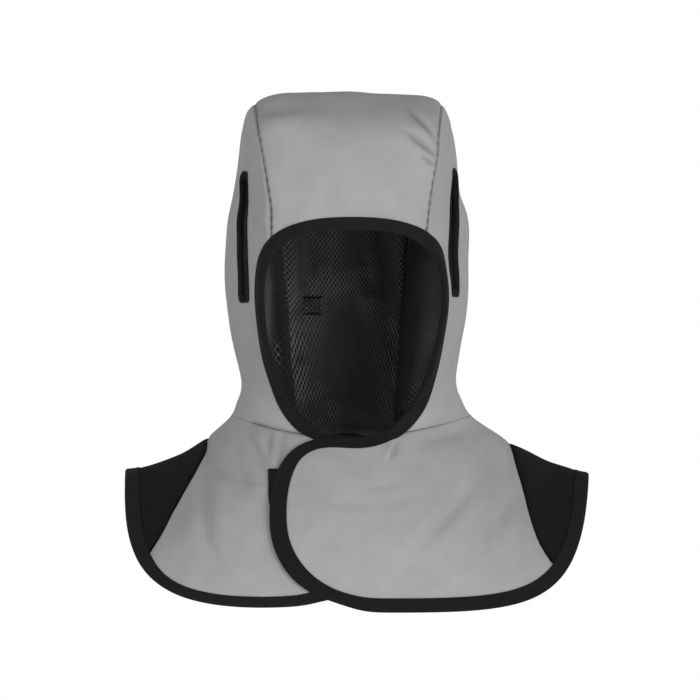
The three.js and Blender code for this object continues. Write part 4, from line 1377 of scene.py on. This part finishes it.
def make_mottle():
    group, given, out = new_group("washed_mottle", [("Scale", 25.0)], ["Value"])
    cloud = group.nodes.new("ShaderNodeTexNoise")
    cloud.inputs["Detail"].default_value = MOTTLE["detail"]
    cloud.inputs["Roughness"].default_value = MOTTLE["roughness"]
    group.links.new(given.outputs["Vector"], cloud.inputs["Vector"])
    group.links.new(given.outputs["Scale"], cloud.inputs["Scale"])
    group.links.new(cloud.outputs["Fac"], out.inputs["Value"])
    return group


def make_lint_and_glints():
    group, given, out = new_group("fine_lint_and_glints", [("Scale", 900.0), ("Rarity", 0.68)], ["Value"])
    specks = group.nodes.new("ShaderNodeTexNoise")
    specks.inputs["Detail"].default_value = LINT_AND_GLINT_DETAIL
    group.links.new(given.outputs["Vector"], specks.inputs["Vector"])
    group.links.new(given.outputs["Scale"], specks.inputs["Scale"])
    above = math_node(group, "SUBTRACT", specks.outputs["Fac"], given.outputs["Rarity"])
    group.links.new(math_node(group, "MAXIMUM", above, 0.0), out.inputs["Value"])
    return group


weave_group = make_weave()
mottle_group = make_mottle()
lint_and_glint_group = make_lint_and_glints()
print("groups", weave_group.name, mottle_group.name, lint_and_glint_group.name)

# %% [markdown]
# ## Joining nodes
# Every finish needs the same few joints: a shared effect put in its place, a tone between two greys, a
# mark read from the mesh, and a mix of two tones by such a mark.

# %% Node helpers
TONE_PLACES = (0.3, 0.7)


def place_group(tree, group, source, **values):
    node = tree.nodes.new("ShaderNodeGroup")
    node.node_tree = group
    tree.links.new(source, node.inputs["Vector"])
    for label, value in values.items():
        node.inputs[label].default_value = value
    return node.outputs[0]


def blend_tone(tree, tones, share):
    ramp = tree.nodes.new("ShaderNodeValToRGB")
    for element, tone, place in zip(ramp.color_ramp.elements, tones, TONE_PLACES):
        element.color = (tone, tone, tone, 1)
        element.position = place
    tree.links.new(share, ramp.inputs["Fac"])
    return ramp.outputs["Color"]


def read_mark(tree, label):
    mark = tree.nodes.new("ShaderNodeAttribute")
    mark.attribute_name = label
    return mark.outputs["Fac"]


def mix_tone(tree, share, first, second):
    mix = tree.nodes.new("ShaderNodeMix")
    mix.data_type = "RGBA"
    tree.links.new(share, mix.inputs["Factor"])
    ends = [socket for socket in mix.inputs if socket.type == "RGBA"]
    for socket, colour in zip(ends, (first, second)):
        if isinstance(colour, float):
            socket.default_value = (colour, colour, colour, 1)
        else:
            tree.links.new(colour, socket)
    return [socket for socket in mix.outputs if socket.type == "RGBA"][0]


print("tones blend between", *TONE_PLACES)

# %% [markdown]
# ## The cloths
# Grey cotton twill, black knit, black woven tape and black loop differ in rib size, tone and sheen. The
# weave follows the cloth map, so ribs bend with the sheet; its height drives a Bump node, and the
# mottling moves the tone a little to either side. The grey twill also reads the crease shade marks,
# which paint shade into its seam grooves and narrow folds.

# %% Cloth materials
# Scales of the mottling and the lint; on the net they place painted highlights and glints.
WEAR_AND_GLINTS = dict(mottle=28.0, weave_share=0.1, mottle_share=0.85, lint_and_glints=700.0, rarity=0.66)
SPECULAR = 0.15
SHEEN_ROUGHNESS = 0.6
BUMP_STRENGTH = 0.6


def cloth_material(name, tones, rib, slub, rough, sheen, bump, lint_and_glints=0.0, crease_shade=0.0):
    material = bpy.data.materials.new(name)
    material.use_nodes = True
    tree = material.node_tree
    shader = tree.nodes["Principled BSDF"]
    shader.inputs["Roughness"].default_value = rough
    shader.inputs["Specular IOR Level"].default_value = SPECULAR
    shader.inputs["Sheen Weight"].default_value = sheen
    shader.inputs["Sheen Roughness"].default_value = SHEEN_ROUGHNESS
    cloth = tree.nodes.new("ShaderNodeTexCoord").outputs["UV"]
    mottle = place_group(tree, mottle_group, cloth, Scale=WEAR_AND_GLINTS["mottle"])
    weave = place_group(tree, weave_group, cloth, Scale=rib, Slub=slub)
    woven = math_node(tree, "MULTIPLY", weave, WEAR_AND_GLINTS["weave_share"])
    washed = math_node(tree, "MULTIPLY", mottle, WEAR_AND_GLINTS["mottle_share"])
    mixed = math_node(tree, "ADD", woven, washed)
    if lint_and_glints:
        specks = place_group(tree, lint_and_glint_group, cloth, Scale=WEAR_AND_GLINTS["lint_and_glints"], Rarity=WEAR_AND_GLINTS["rarity"])
        mixed = math_node(tree, "ADD", mixed, math_node(tree, "MULTIPLY", specks, lint_and_glints))
    tone = blend_tone(tree, tones, mixed)
    if crease_shade:
        tone = mix_tone(tree, read_mark(tree, "crease_shade"), tone, crease_shade)
    tree.links.new(tone, shader.inputs["Base Color"])
    relief = tree.nodes.new("ShaderNodeBump")
    relief.inputs["Distance"].default_value = bump * MM
    relief.inputs["Strength"].default_value = BUMP_STRENGTH
    tree.links.new(weave, relief.inputs["Height"])
    tree.links.new(relief.outputs["Normal"], shader.inputs["Normal"])
    return material


CLOTHS = dict(
    grey_twill=dict(
        # the last tone is the painted shade of seam grooves and narrow folds
        tones=(0.325, 0.375), rib=520.0, slub=0.6, rough=0.9, sheen=0.12, bump=0.12, crease_shade=0.12
    ),
    black_knit=dict(
        tones=(0.0045, 0.0075), rib=330.0, slub=0.9, rough=0.95, sheen=0.015, bump=0.35, lint_and_glints=1.0
    ),
    black_woven_tape=dict(
        tones=(0.0065, 0.0105), rib=520.0, slub=0.5, rough=0.85, sheen=0.02, bump=0.3, lint_and_glints=1.0
    ),
    black_loop_tape=dict(
        tones=(0.006, 0.011), rib=800.0, slub=1.5, rough=0.95, sheen=0.02, bump=0.6, lint_and_glints=1.5
    ),
    black_thread=dict(tones=(0.008, 0.014), rib=900.0, slub=0.5, rough=0.7, sheen=0.02, bump=0.2),
)
cloths = {name: cloth_material(name, **look) for name, look in CLOTHS.items()}
print("cloths", list(cloths))

# %% [markdown]
# ## The net's finish
# The strands are black yarn given painted highlights, up to a mid grey, and their sunken hollows get
# painted shade, as if they looked through to darkness. The finish reads the marks that the net carries:
# hollow keeps the sunken faces nearly black, the painted catch says how far a place shows lit strands
# and shaded hollows at all, and the painted glow lifts the plain tone with painted light where the net
# is only seen as a haze, and drops it to black in painted shade bands along the lining's seams.

# %% Net material
# The net's plain black, the painted light that lifts it, and the painted shade of the hollows.
NET_TONES = dict(plain=0.008, painted_glow=0.1, hollow=0.004)
# Strand tones run from black to a mid grey as painted highlights; their lint specks are painted glints.
STRAND_LOOK = dict(tones=(0.012, 0.27), rib=900.0, slub=0.8, rough=0.6, sheen=0.03, bump=0.2, lint_and_glints=1.6)


def net_material(name):
    material = cloth_material(name, **STRAND_LOOK)
    tree = material.node_tree
    shader = tree.nodes["Principled BSDF"]
    strand = shader.inputs["Base Color"].links[0].from_socket
    painted_catch = read_mark(tree, "painted_catch")
    plain = mix_tone(tree, read_mark(tree, "painted_glow"), NET_TONES["plain"], NET_TONES["painted_glow"])
    lit = mix_tone(tree, painted_catch, plain, strand)
    dark = mix_tone(tree, painted_catch, plain, NET_TONES["hollow"])
    tree.links.new(mix_tone(tree, read_mark(tree, "hollow"), lit, dark), shader.inputs["Base Color"])
    return material


black_net = net_material("black_net")
print("net", black_net.name)

# %% [markdown]
# ## A finish for every piece
# Each piece gets its finish; the table lists it with the slot that the frame knows it by. The closure,
# the thread and the tab are listed as tape there, though they don't look quite like it.

# %% Finishes
GREY_PIECES = ["centre", "left", "right", "over", "under"]
FINISHES = [
    ("grey_cloth", cloths["grey_twill"], GREY_PIECES),
    ("black_cloth", cloths["black_knit"], ["yoke"]),
    ("mesh_lining", black_net, ["lining_centre", "lining_left", "lining_right"]),
    ("black_tape", cloths["black_woven_tape"], ["binding", "slit_left", "slit_right"]),
    ("black_tape", cloths["black_loop_tape"], ["closure"]),
    ("black_tape", cloths["black_thread"], ["stitches"]),
    ("black_tape", black_net, ["tab"]),
]
for slot, material, names in FINISHES:
    for name in names:
        pieces[name].data.materials.append(material)
print("finishes on", len(pieces), "pieces")

# %% [markdown]
# ## Each piece in place of its solid
# Every piece rides on the one rigid body and stands for its plain solid, which is hidden. The tapes are
# long thin sheets folded over their edges.

STANDS_FOR = dict(
    centre="hood_centre_panel", left="hood_side_left", right="hood_side_right",
    lining_centre="lining_centre_panel", lining_left="lining_side_left", lining_right="lining_side_right",
    over="cape_over_flap", under="cape_under_flap", yoke="cape_back_yoke", closure="closure_strip",
    binding="edge_binding", slit_left="ear_slit_binding_left", slit_right="ear_slit_binding_right",
    tab="lining_patch",
)
for piece in pieces.values():
    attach(piece, "root")
for name, node in STANDS_FOR.items():
    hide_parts(node)

# %% [markdown]
# ## Floor
# A plain pale floor lies well below the hood, which is held up in its worn form. A slight mottling keeps
# it from being one flat colour.

# %% Floor
FLOOR = dict(z=-1.5, size=10.0, tones=(0.78, 0.82), mottle=3.0, rough=0.9)
ground = bmesh.new()
bmesh.ops.create_grid(ground, x_segments=2, y_segments=2, size=FLOOR["size"])
bmesh.ops.translate(ground, verts=ground.verts, vec=(0, 0, FLOOR["z"]))
floor = to_object(ground, "floor")
pale = bpy.data.materials.new("pale_floor")
pale.use_nodes = True
pale_tree = pale.node_tree
pale_shader = pale_tree.nodes["Principled BSDF"]
pale_shader.inputs["Roughness"].default_value = FLOOR["rough"]
floor_spots = pale_tree.nodes.new("ShaderNodeTexCoord").outputs["Object"]
floor_mottle = place_group(pale_tree, mottle_group, floor_spots, Scale=FLOOR["mottle"])
pale_tree.links.new(blend_tone(pale_tree, FLOOR["tones"], floor_mottle), pale_shader.inputs["Base Color"])
floor.data.materials.append(pale)
print("floor at", FLOOR["z"], "m")

# %% [markdown]
# ## Light
# Broad soft lights near the camera light whatever faces them, so cloth that turns away darkens. A weak
# light from every side fills the rest, two more lights from behind keep the back readable, and the camera
# itself sees plain white behind the hood.

# %% Light
VIEW = dict(middle=(0.00225, -0.2304), width=0.63, distance=9.0, sensor=36.0, far=100)
AMBIENT = 0.39
LIGHTS = dict(
    front_softbox=((1.8, -3.5, -0.5), 1.6, 79.0),
    left_softbox=((-2.3, -3.25, -0.3), 1.6, 35.0),
    back_left_softbox=((-3.0, 3.0, 1.5), 2.0, 20.0),
    back_right_softbox=((3.0, 3.0, 1.5), 2.0, 20.0),
)
scene = bpy.context.scene
world = bpy.data.worlds.new("studio")
scene.world = world
world.use_nodes = True
sky = world.node_tree.nodes["Background"]
sky.inputs["Color"].default_value = (1, 1, 1, 1)
paths = world.node_tree.nodes.new("ShaderNodeLightPath")
seen = math_node(world.node_tree, "MULTIPLY", paths.outputs["Is Camera Ray"], 1.0 - AMBIENT)
world.node_tree.links.new(math_node(world.node_tree, "ADD", seen, AMBIENT), sky.inputs["Strength"])


def soft_light(name, place, size, power):
    light = bpy.data.lights.new(name, "AREA")
    light.shape = "SQUARE"
    light.size = size
    light.energy = power
    lamp = bpy.data.objects.new(name, light)
    lamp.location = place
    target = Vector((0, 0, VIEW["middle"][1]))
    lamp.rotation_euler = (target - Vector(place)).to_track_quat("-Z", "Y").to_euler()
    scene.collection.objects.link(lamp)


for name, (place, size, power) in LIGHTS.items():
    soft_light(name, place, size, power)
print(len(LIGHTS), "soft lights")

# %% [markdown]
# ## Camera
# The hood is seen straight from the front. A long lens from far away keeps the view flat, without the
# swelling that a near one gives.

# %% Camera
lens = bpy.data.cameras.new("photo_view")
lens.sensor_width = VIEW["sensor"]
lens.lens = VIEW["sensor"] * VIEW["distance"] / VIEW["width"]
lens.clip_end = VIEW["far"]
camera = bpy.data.objects.new("photo_view", lens)
camera.location = (VIEW["middle"][0], -VIEW["distance"], VIEW["middle"][1])
camera.rotation_euler = (math.pi / 2, 0, 0)
scene.collection.objects.link(camera)
scene.camera = camera
scene.view_settings.view_transform = "Standard"
print("lens", round(lens.lens), "mm")
